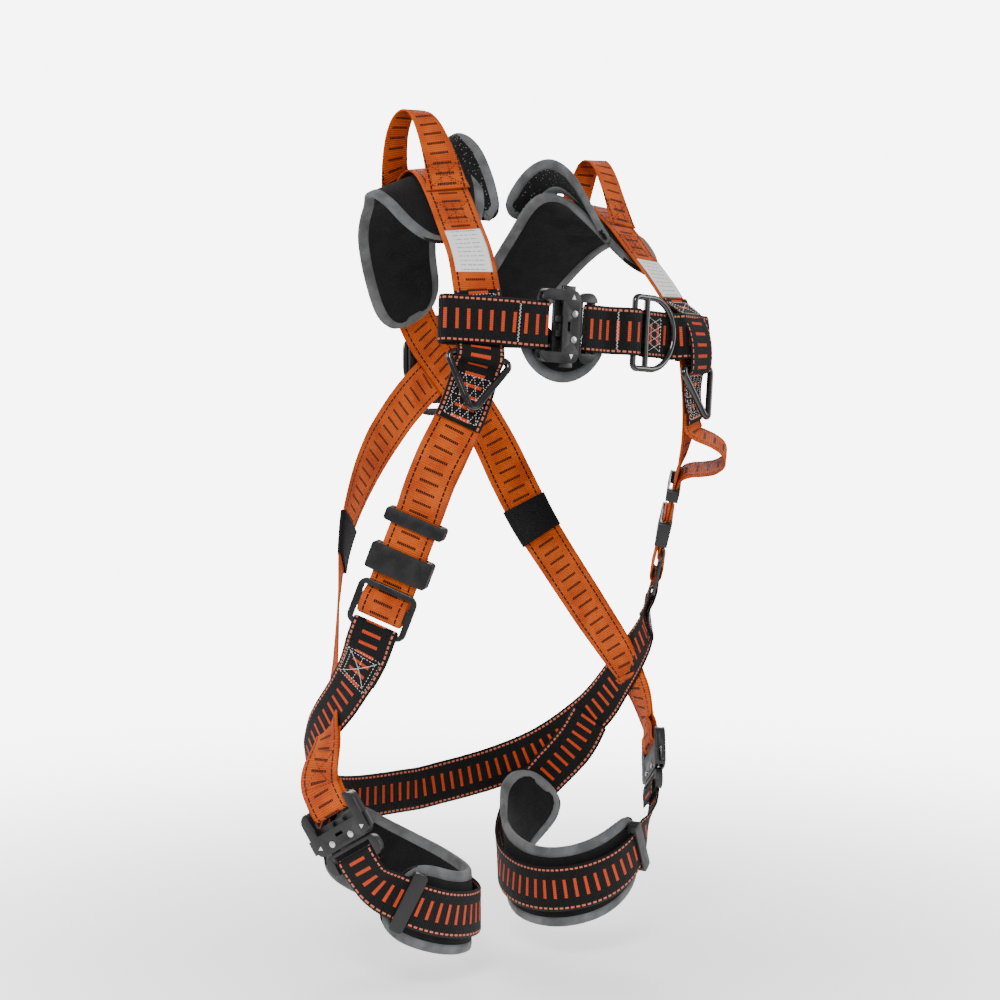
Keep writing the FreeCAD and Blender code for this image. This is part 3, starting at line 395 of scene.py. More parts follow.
# Route points are (x, y, z, facing, tilt): facing is the turn of the outward normal from the front
# towards the wearer's left, and tilt is its rise, both in degrees.
FRONT = [
    (152, -112, 95, 42, 0), (146, -120, 125, 35, 0),
    (138, -125, 158, 28, 0), (131, -125, 192, 24, 0), (127, -121, 226, 22, 4), (124, -109, 257, 20, 14),
    (118, -90, 286, 18, 28), (113, -64, 314, 18, 38), (109, -40, 340, 18, 48), (105, -16, 359, 20, 66),
    (100, 10, 367, 60, 82), (95, 38, 361, 160, 62), (88, 66, 340, 165, 40), (76, 92, 303, 170, 22),
    (60, 110, 262, 175, 10), (36, 121, 226, 180, 4), (0, 128, 190, 180, 0), (-36, 124, 156, 184, 0),
    (-72, 114, 112, 194, 0), (-100, 98, 64, 214, 0), (-120, 80, 20, 230, 0), (-138, 56, -26, 240, 0),
    (-158, 28, -76, 246, 0), (-176, 8, -116, 256, 0), (-190, -6, -150, 274, 0),
]
SEAT = [
    (182, -42, -84, 66, 0), (185, -24, -106, 76, 0), (189, 16, -146, 92, 0),
    (180, 50, -186, 112, 0), (146, 88, -222, 142, 0), (88, 116, -242, 164, 0), (0, 128, -250, 180, 0),
]
CHEST_END = [(156, -109, 226, 24, 8), (127, -121, 226, 24, 8), (106, -131, 226, 24, 6)]
LEG = [
    (158, -64, -292, 44, 0), (134, -76, -307, 28, 0), (106, -80, -319, 10, 0), (76, -74, -327, -16, 0),
    (50, -56, -331, -46, 0), (36, -28, -332, -76, 0), (33, 4, -329, -96, 0), (42, 38, -321, -122, 0),
    (66, 70, -307, -148, 0), (102, 90, -286, -178, 0), (138, 88, -258, -204, 0), (166, 66, -222, -232, 0),
    (176, 50, -192, -246, 0),
]
LOOP = [
    (109, -40, 345, 18, 20), (109, -26, 375, 14, 14), (111, -8, 404, 10, 40), (113, 8, 416, 20, 88),
    (116, 24, 414, 170, 50), (117, 37, 396, 172, 16), (113, 48, 368, 172, 0), (106, 56, 352, 172, 10),
]
# pads add their width to each point: (x, y, z, facing, tilt, width)
SHOULDER_PAD = [
    (121, -70, 300, 22, 32, 50), (120, -48, 326, 24, 42, 84), (116, -18, 352, 34, 58, 106),
    (112, 14, 364, 90, 70, 112), (107, 44, 356, 140, 54, 108), (96, 76, 325, 168, 30, 98),
    (76, 102, 280, 175, 12, 86), (50, 118, 234, 180, 4, 76),
]
COLLAR_PAD = [
    (74, -58, 322, 40, 40, 22), (70, -36, 352, 60, 36, 30), (67, -8, 380, 80, 32, 36),
    (66, 22, 392, 95, 32, 38), (64, 52, 382, 120, 34, 36), (56, 80, 350, 150, 24, 30),
]
LEG_PAD = LEG[:-2]


# -------------------- lines of webbing

WIDTH, THICK = 45.0, 2.4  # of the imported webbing, mm
LAYER = THICK + 0.2
ARC_STEPS, CLOSING = 8, 26.0
SHOWN_THICK = 2.1  # the shown webbing leaves room for its ripple


def turned(side, facing, tilt=0.0):
    f, e = radians(facing), radians(tilt)
    return Vector((side * cos(e) * sin(f), -cos(e) * cos(f), sin(e)))


def stations(points, side=1, steps=3):
    """[(place, normal, width)] along a smooth curve through the route's points."""
    rows = [(worn(Vector((side * x, y, z))), turned(side, facing, tilt), rest[0] if rest else WIDTH)
            for x, y, z, facing, tilt, *rest in points]
    out = []
    for i in range(len(rows) - 1):
        near = (rows[max(0, i - 1)], rows[i], rows[i + 1], rows[min(len(rows) - 1, i + 2)])
        for k in range(steps):
            u = k / steps
            # Hermite weights of the four neighbours, with Catmull-Rom slopes
            weights = (-0.5 * u + u * u - 0.5 * u ** 3, 1 - 2.5 * u * u + 1.5 * u ** 3,
                       0.5 * u + 2 * u * u - 1.5 * u ** 3, -0.5 * u * u + 0.5 * u ** 3)
            place = sum((row[0] * weight for row, weight in zip(near, weights)), Vector((0, 0, 0)))
            width = near[1][2] * (1 - u) + near[2][2] * u
            out.append((place, near[1][1].lerp(near[2][1], u).normalized(), width))
    out.append(rows[-1])
    return out


def squared(line):
    """[(place, along, across, out, width)], with the normals turned square to the line."""
    rows = []
    for i, (place, normal, width) in enumerate(line):
        t = (line[min(len(line) - 1, i + 1)][0] - line[max(0, i - 1)][0]).normalized()
        n = (normal - t * normal.dot(t)).normalized()
        rows.append((place, t, t.cross(n), n, width))
    return rows


def runs(rows):
    """The distance along a line at each of its rows."""
    out = [0.0]
    for a, b in zip(rows, rows[1:]):
        out.append(out[-1] + (b[0] - a[0]).length)
    return out


def lifted(line, height):
    """The same stations, moved out from the body by a number or by a function of the share along."""
    rows = squared(line)
    last = len(rows) - 1
    return [(p + n * (height(i / last) if callable(height) else height), n, width)
            for i, (p, t, w, n, width) in enumerate(rows)]


def fold_end(line, radius, back, hold=0.0):
    """Adds a turn about a bar at the line's last station, and a layer running back under the line."""
    rows = squared(line)
    place, t, w, n, width = rows[-1]
    centre = place - n * radius
    turn = [(centre + (n * cos(a) + t * sin(a)) * radius, n * cos(a) + t * sin(a), width)
            for a in (pi * k / ARC_STEPS for k in range(1, ARC_STEPS + 1))]
    under, run = [], 0.0
    for i in range(len(rows) - 2, -1, -1):
        run += (rows[i + 1][0] - rows[i][0]).length
        if run > back:
            break
        gap = LAYER + (2 * radius - LAYER) * min(1.0, max(0.0, 1 - (run - hold) / CLOSING))
        under.append((rows[i][0] - rows[i][3] * gap, rows[i][3] * -1, width))
    return line + turn + under


def folded_start(line, radius, back, hold=0.0):
    return fold_end(line[::-1], radius, back, hold)[::-1]


def frame_at(place, x_axis, z_axis):
    """A matrix whose x axis lies along x_axis, and its z axis as near to z_axis as that allows."""
    x = x_axis.normalized()
    z = (z_axis - x * z_axis.dot(x)).normalized()
    return Matrix.Translation(place) @ Matrix((x, z.cross(x), z)).transposed().to_4x4()


def local_line(placement, pairs):
    """Stations through (x, z) pairs in a placement's own frame, with normals square to the path."""
    points = [placement @ Vector((x, 0, z)) for x, z in pairs]
    across = placement.to_3x3() @ Vector((0, 1, 0))
    rows = []
    for i, p in enumerate(points):
        t = (points[min(len(points) - 1, i + 1)] - points[max(0, i - 1)]).normalized()
        rows.append((p, t.cross(across), WIDTH))
    return rows


FOLD, BAR_MIDDLE = 3.1, 2.5  # radius of a turn about a bar, and the height of a bar's middle
OVER_BAR = BAR_MIDDLE + FOLD
# (distance from a bar, height) of webbing that comes in over it
APPROACH = [(24, BAR_MIDDLE), (14, OVER_BAR - 0.8), (6, OVER_BAR), (0, OVER_BAR)]


def approach(placement, x, side, steps=APPROACH):
    """Stations that come in along a buckle's own x axis, from its side, and end over its bar at x."""
    out = placement.to_3x3() @ Vector((0, 0, 1))
    return [(placement @ Vector((x + side * d, 0, z)), out, WIDTH) for d, z in steps]


def resampled(line, pitch):
    """Stations a pitch apart on a smooth curve through the given ones, with steady speed at each."""
    line = [line[0]] + [b for a, b in zip(line, line[1:]) if (b[0] - a[0]).length > 0.2]
    gaps = [(b[0] - a[0]).length for a, b in zip(line, line[1:])]
    speed = [(b[0] - a[0]) / gap for a, b, gap in zip(line, line[1:], gaps)]
    slope = [speed[0]]
    for i in range(1, len(gaps)):
        slope.append((speed[i - 1] * gaps[i] + speed[i] * gaps[i - 1]) / (gaps[i - 1] + gaps[i]))
    slope.append(speed[-1])
    out = []
    for i, gap in enumerate(gaps):
        (p, n, width), (q, m, next_width) = line[i], line[i + 1]
        steps = max(1, round(gap / pitch))
        for k in range(steps):
            u = k / steps
            place = (p * (1 - 3 * u * u + 2 * u ** 3) + q * (3 * u * u - 2 * u ** 3)
                     + (slope[i] * (u - 2 * u * u + u ** 3) + slope[i + 1] * (u ** 3 - u * u)) * gap)
            out.append((place, n.lerp(m, u).normalized(), width * (1 - u) + next_width * u))
    out.append(line[-1])
    return out


# -------------------- where the hardware sits

RECEIVER_BAR, TONGUE_BAR, ADJUSTER_BAR = -28.0, 21.0, -23.0
ADJUSTER_PLACE, ADJUSTER_FACING = (168, -72, -16), 48.0
LEG_BUCKLE_PLACE, LEG_BUCKLE_FACING, TONGUE_WAY = (187, -36, -236), 66.0, (-0.30, -0.42, -0.855)
CHEST_BUCKLE_PLACE = (-46, -145, 226)
CHEST_RING_PLACE, CHEST_RING_FACING = (46, -146, 226), 12.0


def at_side(side, point):
    """A point or direction on the wearer's left, taken to the given side."""
    x, y, z = point
    return Vector((side * x, y, z))


adjuster, leg_buckle = {}, {}
for name, side in SIDES.items():
    foot, top = worn(at_side(side, ADJUSTER_PLACE)), worn(at_side(side, FRONT[0][:3]))
    adjuster[name] = frame_at(foot, top - foot, turned(side, ADJUSTER_FACING))
    leg_buckle[name] = frame_at(worn(at_side(side, LEG_BUCKLE_PLACE)), at_side(side, TONGUE_WAY),
                                turned(side, LEG_BUCKLE_FACING))
chest_middle = worn(Vector(CHEST_BUCKLE_PLACE))
chest_run = worn(at_side(0, CHEST_BUCKLE_PLACE)) - chest_middle
chest_buckle = frame_at(chest_middle, chest_run, Vector((0, -1, 0)))
ring_run = Matrix.Rotation(radians(CHEST_RING_FACING), 3, "Z") @ chest_run
chest_ring_frame = frame_at(worn(Vector(CHEST_RING_PLACE)), ring_run, turned(1, CHEST_RING_FACING))
BUCKLES = {"chest_buckle": chest_buckle, "leg_buckle_r": leg_buckle["r"], "leg_buckle_l": leg_buckle["l"]}

# -------------------- meshes

def mesh_piece(name, verts, faces, material, body=HARNESS, replaces=(), uvs=None, smooth=True):
    """An object in the row frame, riding on a body, or on none.
    verts are in mm, and uvs in metres, one for each vertex."""
    mesh = bpy.data.meshes.new(name)
    mesh.from_pydata([v * MM for v in verts], [], faces)
    if uvs:
        layer = mesh.uv_layers.new(name="web")
        for loop in mesh.loops:
            layer.data[loop.index].uv = uvs[loop.vertex_index]
    mesh.polygons.foreach_set("use_smooth", [smooth] * len(mesh.polygons))
    mesh.materials.append(material)
    mesh.update()
    piece = added(name, mesh)
    if body:
        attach(piece, body)
    if replaces:
        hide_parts(*replaces)
    return piece


def skin(rings, closed=False):
    """Quad faces between rings of equal counts, and caps on the two ends."""
    count, faces = len(rings[0]), []
    pairs = len(rings) if closed else len(rings) - 1
    for i in range(pairs):
        a, b = i * count, (i + 1) % len(rings) * count
        faces += [(a + k, a + (k + 1) % count, b + (k + 1) % count, b + k) for k in range(count)]
    if not closed:
        faces += [tuple(range(count))[::-1], tuple(range((len(rings) - 1) * count, len(rings) * count))]
    return [v for ring in rings for v in ring], faces


ACROSS = 12  # columns of a band's face
PITCH = 2.6  # mm between a band's sections
SELVEDGE = 0.4  # mm that the rounded edge takes
RIPPLE, RIPPLE_LONG, RIPPLE_WIDE = 0.22, 34.0, 1.3  # how far webbing wanders from flat, and how slowly
bands = {}  # name: its fine rows and thickness, for stitching


def band(name, line, material, thick=SHOWN_THICK, width=None, ripple=RIPPLE, seed=0.0, body=HARNESS):
    """Webbing along a line: rounded selvedges, a slight ripple, and u, v in metres on both faces."""
    rows = squared(resampled(line, PITCH))
    shares = [-1 + 2 * (k + 0.5) / ACROSS for k in range(ACROSS)]
    rings, uvs = [], []
    for (p, t, w, n, own), run in zip(rows, runs(rows)):
        half = (width or own) / 2
        # one closed section: over the face, round one selvedge, back under and round the other
        section = [(share * (half - SELVEDGE), thick / 2) for share in shares] + [(half, 0.0)]
        section += [(share * (half - SELVEDGE), -thick / 2) for share in reversed(shares)] + [(-half, 0.0)]
        ring = []
        for across, high in section:
            wave = noise.noise(Vector((run / RIPPLE_LONG, across / half * RIPPLE_WIDE, seed)))
            ring.append(p + w * across + n * (high + ripple * wave))
            uvs.append((run * MM, across * MM))
        rings.append(ring)
    bands[name] = (rows, thick)
    verts, faces = skin(rings)
    return mesh_piece(name + "_web", verts, faces, material, body, [name], uvs)


def on_band(name, run, across):
    """The place and axes on a band's face, at a distance along it and across it."""
    rows, thick = bands[name]
    for (p, t, w, n, own), (q, *rest) in zip(rows, rows[1:]):
        step = (q - p).length
        if run <= step:
            m = (n * (1 - run / step) + rest[2] * (run / step)).normalized()
            return p.lerp(q, run / step) + w * across + m * (thick / 2), t, w, m
        run -= step
    return rows[-1][0] + w * across + n * (thick / 2), t, w, n


def band_length(name):
    """How long a band is, mm."""
    return runs(bands[name][0])[-1]


def run_near(name, place, first=0.0):
    """The distance along a band at its station nearest to a place, past a first distance."""
    rows = bands[name][0]
    return min(((row[0] - place).length, run) for row, run in zip(rows, runs(rows)) if run >= first)[1]


# -------------------- stitching

STITCH, GAP, THREAD_RADIUS = 2.3, 0.9, 0.42
# a seam's line stands above the cloth, and a stitch's ends and underside are below that line
PROUD, END_DEEP, ROOT_DEEP = 0.12, 0.3, 0.4
threads = {}  # (colour, piece): (verts, faces), filled by stitch()


def stitch(group, a, b, out):
    """One stitch from a to b: a bead with pointed ends that stands on the cloth."""
    along = (b - a).normalized()
    side = along.cross(out).normalized()
    verts, faces = threads.setdefault(group, ([], []))
    base = len(verts)
    verts.append(a - out * END_DEEP)
    for m in (a.lerp(b, 0.25), a.lerp(b, 0.75)):
        verts.extend([m + side * THREAD_RADIUS, m + out * THREAD_RADIUS, m - side * THREAD_RADIUS,
                      m - out * ROOT_DEEP])
    verts.append(b - out * END_DEEP)
    for k in range(4):
        j = (k + 1) % 4
        faces.extend([(base, base + 1 + k, base + 1 + j),
                      (base + 1 + k, base + 5 + k, base + 5 + j, base + 1 + j),
                      (base + 9, base + 5 + j, base + 5 + k)])


def sew(group, name, path, length=STITCH, gap=GAP):
    """Stitches along a path of (run, across) points on a band."""
    for (u0, v0), (u1, v1) in zip(path, path[1:]):
        long = ((u1 - u0) ** 2 + (v1 - v0) ** 2) ** 0.5
        count = max(1, round(long / (length + gap)))
        for k in range(count):
            ends = []
            for share in (k / count, (k + length / (length + gap)) / count):
                place, t, w, n = on_band(name, u0 + (u1 - u0) * share, v0 + (v1 - v0) * share)
                ends.append(place + n * PROUD)
            stitch(group, *ends, n)


def box_stitch(group, name, start, end, half, bars=0):
    """A sewn box with its diagonals, and extra lines along it."""
    sew(group, name, [(start, -half), (end, -half), (end, half), (start, half), (start, -half)])
    sew(group, name, [(start, -half), (end, half)])
    sew(group, name, [(start, half), (end, -half)])
    for k in range(bars):
        place = -half + 2 * half * (k + 1) / (bars + 1)
        sew(group, name, [(start, place), (end, place)])


def zigzag(group, name, lines, half, turns, length, gap):
    """Stitches to and fro between two lines across a band, from one edge to the other."""
    path = [(lines[k % 2], -half + 2 * half * k / turns) for k in range(turns + 1)]
    sew(group, name, path, length, gap)


def finish_threads():
    finishes = {"white": WHITE_THREAD, "black": BLACK_THREAD}
    for (colour, name), (verts, faces) in threads.items():
        gives = name == "chest_strap_l"
        body = None if gives else HARNESS
        piece = mesh_piece(f"{name}_{colour}_stitches", verts, faces, finishes[colour], body)
        if gives:
            gives_at_tongue(piece)


# -------------------- webbing pieces

# (x, z) in an adjuster's frame: up behind the strap, about the middle bar, and up behind the top bar
THREADING = [
    (56, -4.5), (40, -4.4), (20, -4.4), (0, -4.5), (-9, -4.4), (-12.6, -3.2), (-14.5, -0.6), (-14.6, 1.6),
    (-13.0, 4.2), (-9.5, 5.6), (-3, 5.8), (3, 5.7), (6, 4.2), (9.4, 0.2), (12, -1.5), (18, -1.6), (36, -1.6),
    (66, -1.6), (96, -1.6),
]
# (x, z) in the chest ring's frame: under its bow and bar, and over its rail
RING_THREADING = [
    (49, 1.0), (41, -0.2), (12, 0.0), (3, 0.0), (-3, 0.2), (-8.5, 4.2), (-13, 8.4), (-20, 9.2), (-28, 7.5),
]
HIP_SHARE, BAR_HOLD = 0.80, 10.0
CHEST_LIFT, CHEST_FOLD, CHEST_HOLD = 9.5, 8.2, 60.0
# (upright height, lift off the shoulder strap)
PATCH_FOOT = [
    (138, 5.2), (148, 5.2), (156, 2.6), (184, 2.6), (187.8, 3.6), (189.3, 7.0), (190.8, 10.6), (194.5, 12.3),
]
PATCH = {
    "r": PATCH_FOOT + [(198.2, 10.9), (201.5, 6.6), (206, 3.2), (212, 2.6), (230, 2.6), (252, 2.6)],
    "l": PATCH_FOOT + [(202, 13.4), (216, 14.6), (232, 14.4), (246, 11.0), (254, 6.0), (260, 2.8),
                       (266, 2.6)],
}
LABEL = [(268, 1.7), (276, 1.7), (284, 1.7), (292, 1.7), (300, 1.7), (306, 1.7)]
TAIL = {
    "r": [(33, 1.1), (60, 1.1), (90, 1.1), (96, 2.0), (106, 5.0), (118, 6.6), (130, 6.6), (142, 5.2)],
    "l": [(33, 1.1), (60, 1.1), (90, 1.1), (95, 1.8), (99, 4.6), (103, 11), (107, 23), (113, 35), (122, 41),
          (131, 38), (137, 28), (140, 16), (142, 7)],
}
TAIL_TOP = [(142, 2.6), (150, 2.6)]
# how far each strap's folded end runs back
BACK = {"shoulder": 80.0, "seat": 60.0, "chest_r": 24.0, "chest_l": 20.0, "chest_end": 84.0, "leg": 22.0}
CROSSING_MIDDLE, CROSSING_REACH, CROSSING_DEPTH = -2.0, 60.0, 100.0  # where the two straps cross at the back
LOOP_WIDTH, LOOP_TAPER = 26.0, 0.7
SLEEVE_FOOT, SLEEVE_TOP = 4.0, 46.0  # upright heights
SLEEVE_BESIDE, SLEEVE_ABOVE, SLEEVE_WALL, SLEEVE_EDGE = 1.9, 1.5, 1.3, 1.5


def gives_at_tongue(piece):
    """Moves a piece's placement into its mesh, for a piece that rides on no body."""
    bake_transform(piece)


def shoulder_strap(name):
    """From the adjuster over the shoulder and across the back, down to the other leg's buckle."""
    side, other = SIDES[name], "l" if name == "r" else "r"
    body = []
    for p, n, w in stations(FRONT, side):
        if abs(p.x - CROSSING_MIDDLE) < CROSSING_REACH and p.y > CROSSING_DEPTH:
            p = p + n * (LAYER / 2 * side)
        body.append((p, n, w))
    hip = lifted(body, lambda share: LAYER * min(1.0, max(0.0, (share - HIP_SHARE) * 10)))
    line = local_line(adjuster[name], THREADING) + hip + approach(leg_buckle[other], RECEIVER_BAR, -1)
    line = fold_end(line, FOLD, BACK["shoulder"], BAR_HOLD)
    band("shoulder_strap_" + name, line, ORANGE, seed=side)


def seat_strap():
    """From one adjuster round behind the thighs to the other."""
    ends = [approach(adjuster[name], ADJUSTER_BAR, -1) for name in SIDES]
    line = ends[0][::-1] + stations(SEAT, -1) + stations(SEAT, 1)[::-1][1:] + ends[1]
    line = folded_start(fold_end(line, FOLD, BACK["seat"], BAR_HOLD), FOLD, BACK["seat"], BAR_HOLD)
    band("seat_strap", line, BLACK, seed=3.0)


def chest_strap(name):
    """From the side of the chest to the buckle; the left one runs through the chest ring."""
    side = SIDES[name]
    line = lifted(stations(CHEST_END, side), CHEST_LIFT)
    if name == "r":
        line += approach(chest_buckle, RECEIVER_BAR, -1, APPROACH[1:])
    else:
        line += [(p, n * -1, w) for p, n, w in local_line(chest_ring_frame, RING_THREADING)]
        line += approach(chest_buckle, TONGUE_BAR, 1)
    line = fold_end(line, FOLD, BACK["chest_" + name], BAR_HOLD)
    line = folded_start(line, CHEST_FOLD, BACK["chest_end"], CHEST_HOLD)
    body = HARNESS if name == "r" else None
    piece = band("chest_strap_" + name, line, BLACK, seed=5.0 + side, body=body)
    if name == "l":
        gives_at_tongue(piece)


def upright_z(p):
    """The height that a worn point had on the upright wearer."""
    z = p.z
    for _ in range(5):
        z = p.z - (p.x + hip_shift(z)) * lean(z)
    return z


def front_rows(name, heights):
    """Stations on the front of a shoulder strap at the given (upright height, lift) pairs, going up."""
    rows = [(upright_z(row[0]), row) for row in squared(stations(FRONT[:9], SIDES[name], 24))]
    out = []
    for z, rise in heights:
        p, t, w, n, width = min(rows, key=lambda row: abs(row[0] - z))[1]
        out.append((p + n * rise, n, width))
    return out


def leg_strap(name):
    line = approach(leg_buckle[name], TONGUE_BAR, 1)[::-1] + stations(LEG, SIDES[name])
    line = folded_start(line, FOLD, BACK["leg"], BAR_HOLD)
    piece = band("leg_strap_" + name, line, BLACK, seed=13.0 + SIDES[name], body=None)
    gives_at_tongue(piece)


def shoulder_loop(name):
    """A loop on top of the shoulder, narrower at its middle than at its sewn feet."""
    rows = stations(LOOP, SIDES[name])
    last = len(rows) - 1
    line = [(p, n, WIDTH - (WIDTH - LOOP_WIDTH) * sin(pi * i / last) ** LOOP_TAPER if 0 < i < last else WIDTH)
            for i, (p, n, w) in enumerate(rows)]
    band("shoulder_loop_" + name, line, ORANGE, seed=7.0 + SIDES[name])


def back_sleeve(name):
    """A stitched tube of webbing round the strap where it crosses the back of the waist."""
    rows = [row for row in stations(FRONT, SIDES[name], 6)
            if row[0].y > 60 and SLEEVE_FOOT < upright_z(row[0]) < SLEEVE_TOP]
    fine = squared(resampled(rows, PITCH))
    half, high = WIDTH / 2 + SLEEVE_BESIDE, THICK / 2 + SLEEVE_ABOVE
    flat = half - SLEEVE_EDGE
    outline = [(-half, 0.0), (-flat, high), (0.0, high + 0.3), (flat, high), (half, 0.0),
               (flat, -high), (0.0, -high), (-flat, -high)]
    inner = [(x * (1 - SLEEVE_WALL / half), z * (1 - SLEEVE_WALL / high * 0.9)) for x, z in outline]
    rings, uvs = [], []
    for (p, t, w, n, own), run in zip(fine, runs(fine)):
        rings.append([p + w * x + n * z for x, z in outline])
        uvs += [(run * MM, (WIDTH * 0.9 + z) * MM) for x, z in outline]
    for p, t, w, n, own in reversed(fine):
        rings.append([p + w * x + n * z for x, z in inner])
        uvs += [(0.0, WIDTH * MM)] * len(inner)
    verts, faces = skin(rings, closed=True)
    mesh_piece(f"back_sleeve_{name}_web", verts, faces, BLACK,
               replaces=["back_sleeve_" + name], uvs=uvs)


def label(name):
    """A printed label, as a thin sheet on the front of the shoulder strap."""
    piece = band("label_" + name, front_rows(name, LABEL), LABEL_FACE,
                 thick=0.5, width=36.0, ripple=0.1)


for name, side in SIDES.items():
    shoulder_strap(name)
    chest_strap(name)
    tail = local_line(adjuster[name], TAIL[name]) + front_rows(name, TAIL_TOP)
    band("strap_tail_" + name, tail, ORANGE, seed=9.0 + side)
    band("ring_patch_" + name, front_rows(name, PATCH[name]), BLACK, seed=11.0 + side)
    leg_strap(name)
    back_sleeve(name)
    shoulder_loop(name)
    label(name)
seat_strap()


# -------------------- pads

PAD_STEP, PAD_COLUMNS = 5.0, 14
PAD_EDGE = 1.5  # half the thickness of a pad at its bound edge, mm
PAD_END, END_WIDTH = 0.45, 0.42  # how far a pad's rounded end reaches, and its width at the tip, as shares
TAPE_HALF, TAPE_THICK = 4.6, 1.1  # binding: half its width on the face, and how far it stands off
FILL_EASE = 30.0  # how far in from the edge the tape follows the pad's crown
UNDER = -(THICK / 2 + 4.3)  # of a strap pad's middle
LEG_PAD_WIDTH = 78.0
AIR_PRESSURE, AIR_FRAMES = 4.0, 18


def swollen(piece, cap, pinned):
    """Fills a pad with pressure, its bound edge held, and keeps every point within cap metres."""
    scene = bpy.context.scene
    group = piece.vertex_groups.new(name="edge")
    group.add(pinned, 1.0, "ADD")
    air = piece.modifiers.new("air", "CLOTH")
    air.settings.vertex_group_mass = "edge"
    air.settings.use_pressure = True
    air.settings.uniform_pressure_force = AIR_PRESSURE
    air.settings.effector_weights.gravity = 0.0
    air.settings.quality = 4
    scene.frame_start, scene.frame_end = 1, AIR_FRAMES
    for number in range(1, AIR_FRAMES + 1):
        scene.frame_set(number)
    shape = piece.evaluated_get(bpy.context.evaluated_depsgraph_get()).to_mesh()
    moved = [v.co.copy() for v in shape.vertices]
    piece.modifiers.remove(air)
    for vertex, target in zip(piece.data.vertices, moved):
        step = target - vertex.co
        vertex.co += step * min(1.0, cap / max(step.length, 1e-9))
    piece.vertex_groups.remove(group)
    scene.frame_set(1)


def binding(name, path, half_thick):
    """Tape folded round a pad's edge: path is closed, of (place, inward, normal)."""
    rings = []
    reach = 2 * TAPE_HALF
    outline = [(-1.2, 0.0), (-0.6, 0.75), (1.0, 1.0), (reach * 0.6, 1.0), (reach - 0.6, 0.96), (reach, 0.45),
               (reach, -0.45), (reach - 0.6, -0.96), (reach * 0.6, -1.0), (1.0, -1.0), (-0.6, -0.75)]
    for place, inward, normal in path:
        rings.append([place + inward * x + normal * z * (half_thick(x) + TAPE_THICK) for x, z in outline])
    verts, faces = skin(rings, closed=True)
    mesh_piece(name, verts, faces, BINDING)


def crown(share, thick):
    """Half the thickness of a pad at a share of the way from its middle to its edge."""
    return PAD_EDGE + (thick / 2 - PAD_EDGE) * (1 - min(1.0, abs(share)) ** 3.2) ** 0.8


def strip_pad(name, line, thick, material, cap):
    """A long pad with rounded ends and a crowned face, bound with tape all round."""
    rows = squared(resampled(line, PAD_STEP))
    lengths = runs(rows)
    shares = [sin(pi / 2 * (-1 + 2 * k / PAD_COLUMNS)) for k in range(PAD_COLUMNS + 1)]
    rings, uvs, pinned, left, right = [], [], [], [], []
    for (p, t, w, n, width), run in zip(rows, lengths):
        reach = width * PAD_END
        near = min(run, lengths[-1] - run)
        half = width / 2 * (END_WIDTH + (1 - END_WIDTH) * (1 - (1 - min(1.0, near / reach)) ** 2) ** 0.5)
        full = min(1.0, 0.25 + near / reach)
        top = [(s * half, crown(s, PAD_EDGE * 2 + (thick - PAD_EDGE * 2) * full)) for s in shares]
        section = top + [(x, -z) for x, z in reversed(top)]
        first = len(rings) * len(section)
        pinned += [first + k for k in (0, PAD_COLUMNS, PAD_COLUMNS + 1, len(section) - 1)]
        rings.append([p + w * x + n * z for x, z in section])
        uvs += [(run * MM, x * MM) for x, z in section]
        left.append((p - w * half, w, n))
        right.append((p + w * half, -w, n))
    verts, faces = skin(rings)
    pinned += list(range(len(rings[0]))) + list(range(len(verts) - len(rings[0]), len(verts)))
    piece = mesh_piece(name + "_cover", verts, faces, material, replaces=[name], uvs=uvs)
    swollen(piece, cap * MM, pinned)
    smooth = piece.modifiers.new("smooth", "SUBSURF")
    smooth.levels = smooth.render_levels = 1

    # the binding runs up one side, across the end, and back down the other
    start, end = rows[0], rows[-1]
    over_end = [(end[0] + end[2] * x, -end[1], end[3]) for x in cross_points(right[-1], end)]
    over_start = [(start[0] + start[2] * x, start[1], start[3]) for x in cross_points(right[0], start)[::-1]]
    path = left + over_end[::-1] + right[::-1] + over_start
    binding(name + "_binding", softened(path), lambda x: crown(1 - x / FILL_EASE, thick * 0.8))


def cross_points(edge, row):
    """Distances across a pad's end, from one side to the other."""
    half = (edge[0] - row[0]).length
    return [half * share for share in (0.7, 0.35, 0.0, -0.35, -0.7)]


def softened(path, passes=3):
    """A closed path with its corners eased."""
    for _ in range(passes):
        path = [tuple((a[k] + b[k] * 2 + c[k]) / 4 for k in range(3))
                for a, b, c in zip(path[-1:] + path[:-1], path, path[1:] + path[:1])]
    return [(p, inward.normalized(), normal.normalized()) for p, inward, normal in path]


def pads(name):
    """The pads of one side: under its shoulder strap, beside the neck, and under its leg strap."""
    side = SIDES[name]
    strip_pad("shoulder_pad_" + name, lifted(stations(SHOULDER_PAD, side), UNDER - 1.9), 7.2, PAD_FACE, 0.9)
    strip_pad("collar_pad_" + name, lifted(stations(COLLAR_PAD, side), 0.0), 7.4, PAD_MESH, 2.2)
    leg = [(p, n, LEG_PAD_WIDTH) for p, n, w in stations(LEG_PAD, side)]
    strip_pad("leg_pad_" + name, lifted(leg, UNDER - 5.5), 7.6, PAD_FACE, 1.4)


# in the chest buckle's frame: the pad's arc, how far above level it starts, and the pad's middle
CHEST_PAD_RADIUS, CHEST_PAD_START = 51.0, 0.39
CHEST_PAD_Y, CHEST_PAD_Z = -12.0, -5.8
CHEST_PAD_THICK, CHEST_PAD_EASE = 5.0, 26.0
ARC_POINTS, EDGE_POINTS = 40, 14
RING_SHARES = [1.0, 0.97, 0.9, 0.78, 0.6, 0.38, 0.14]


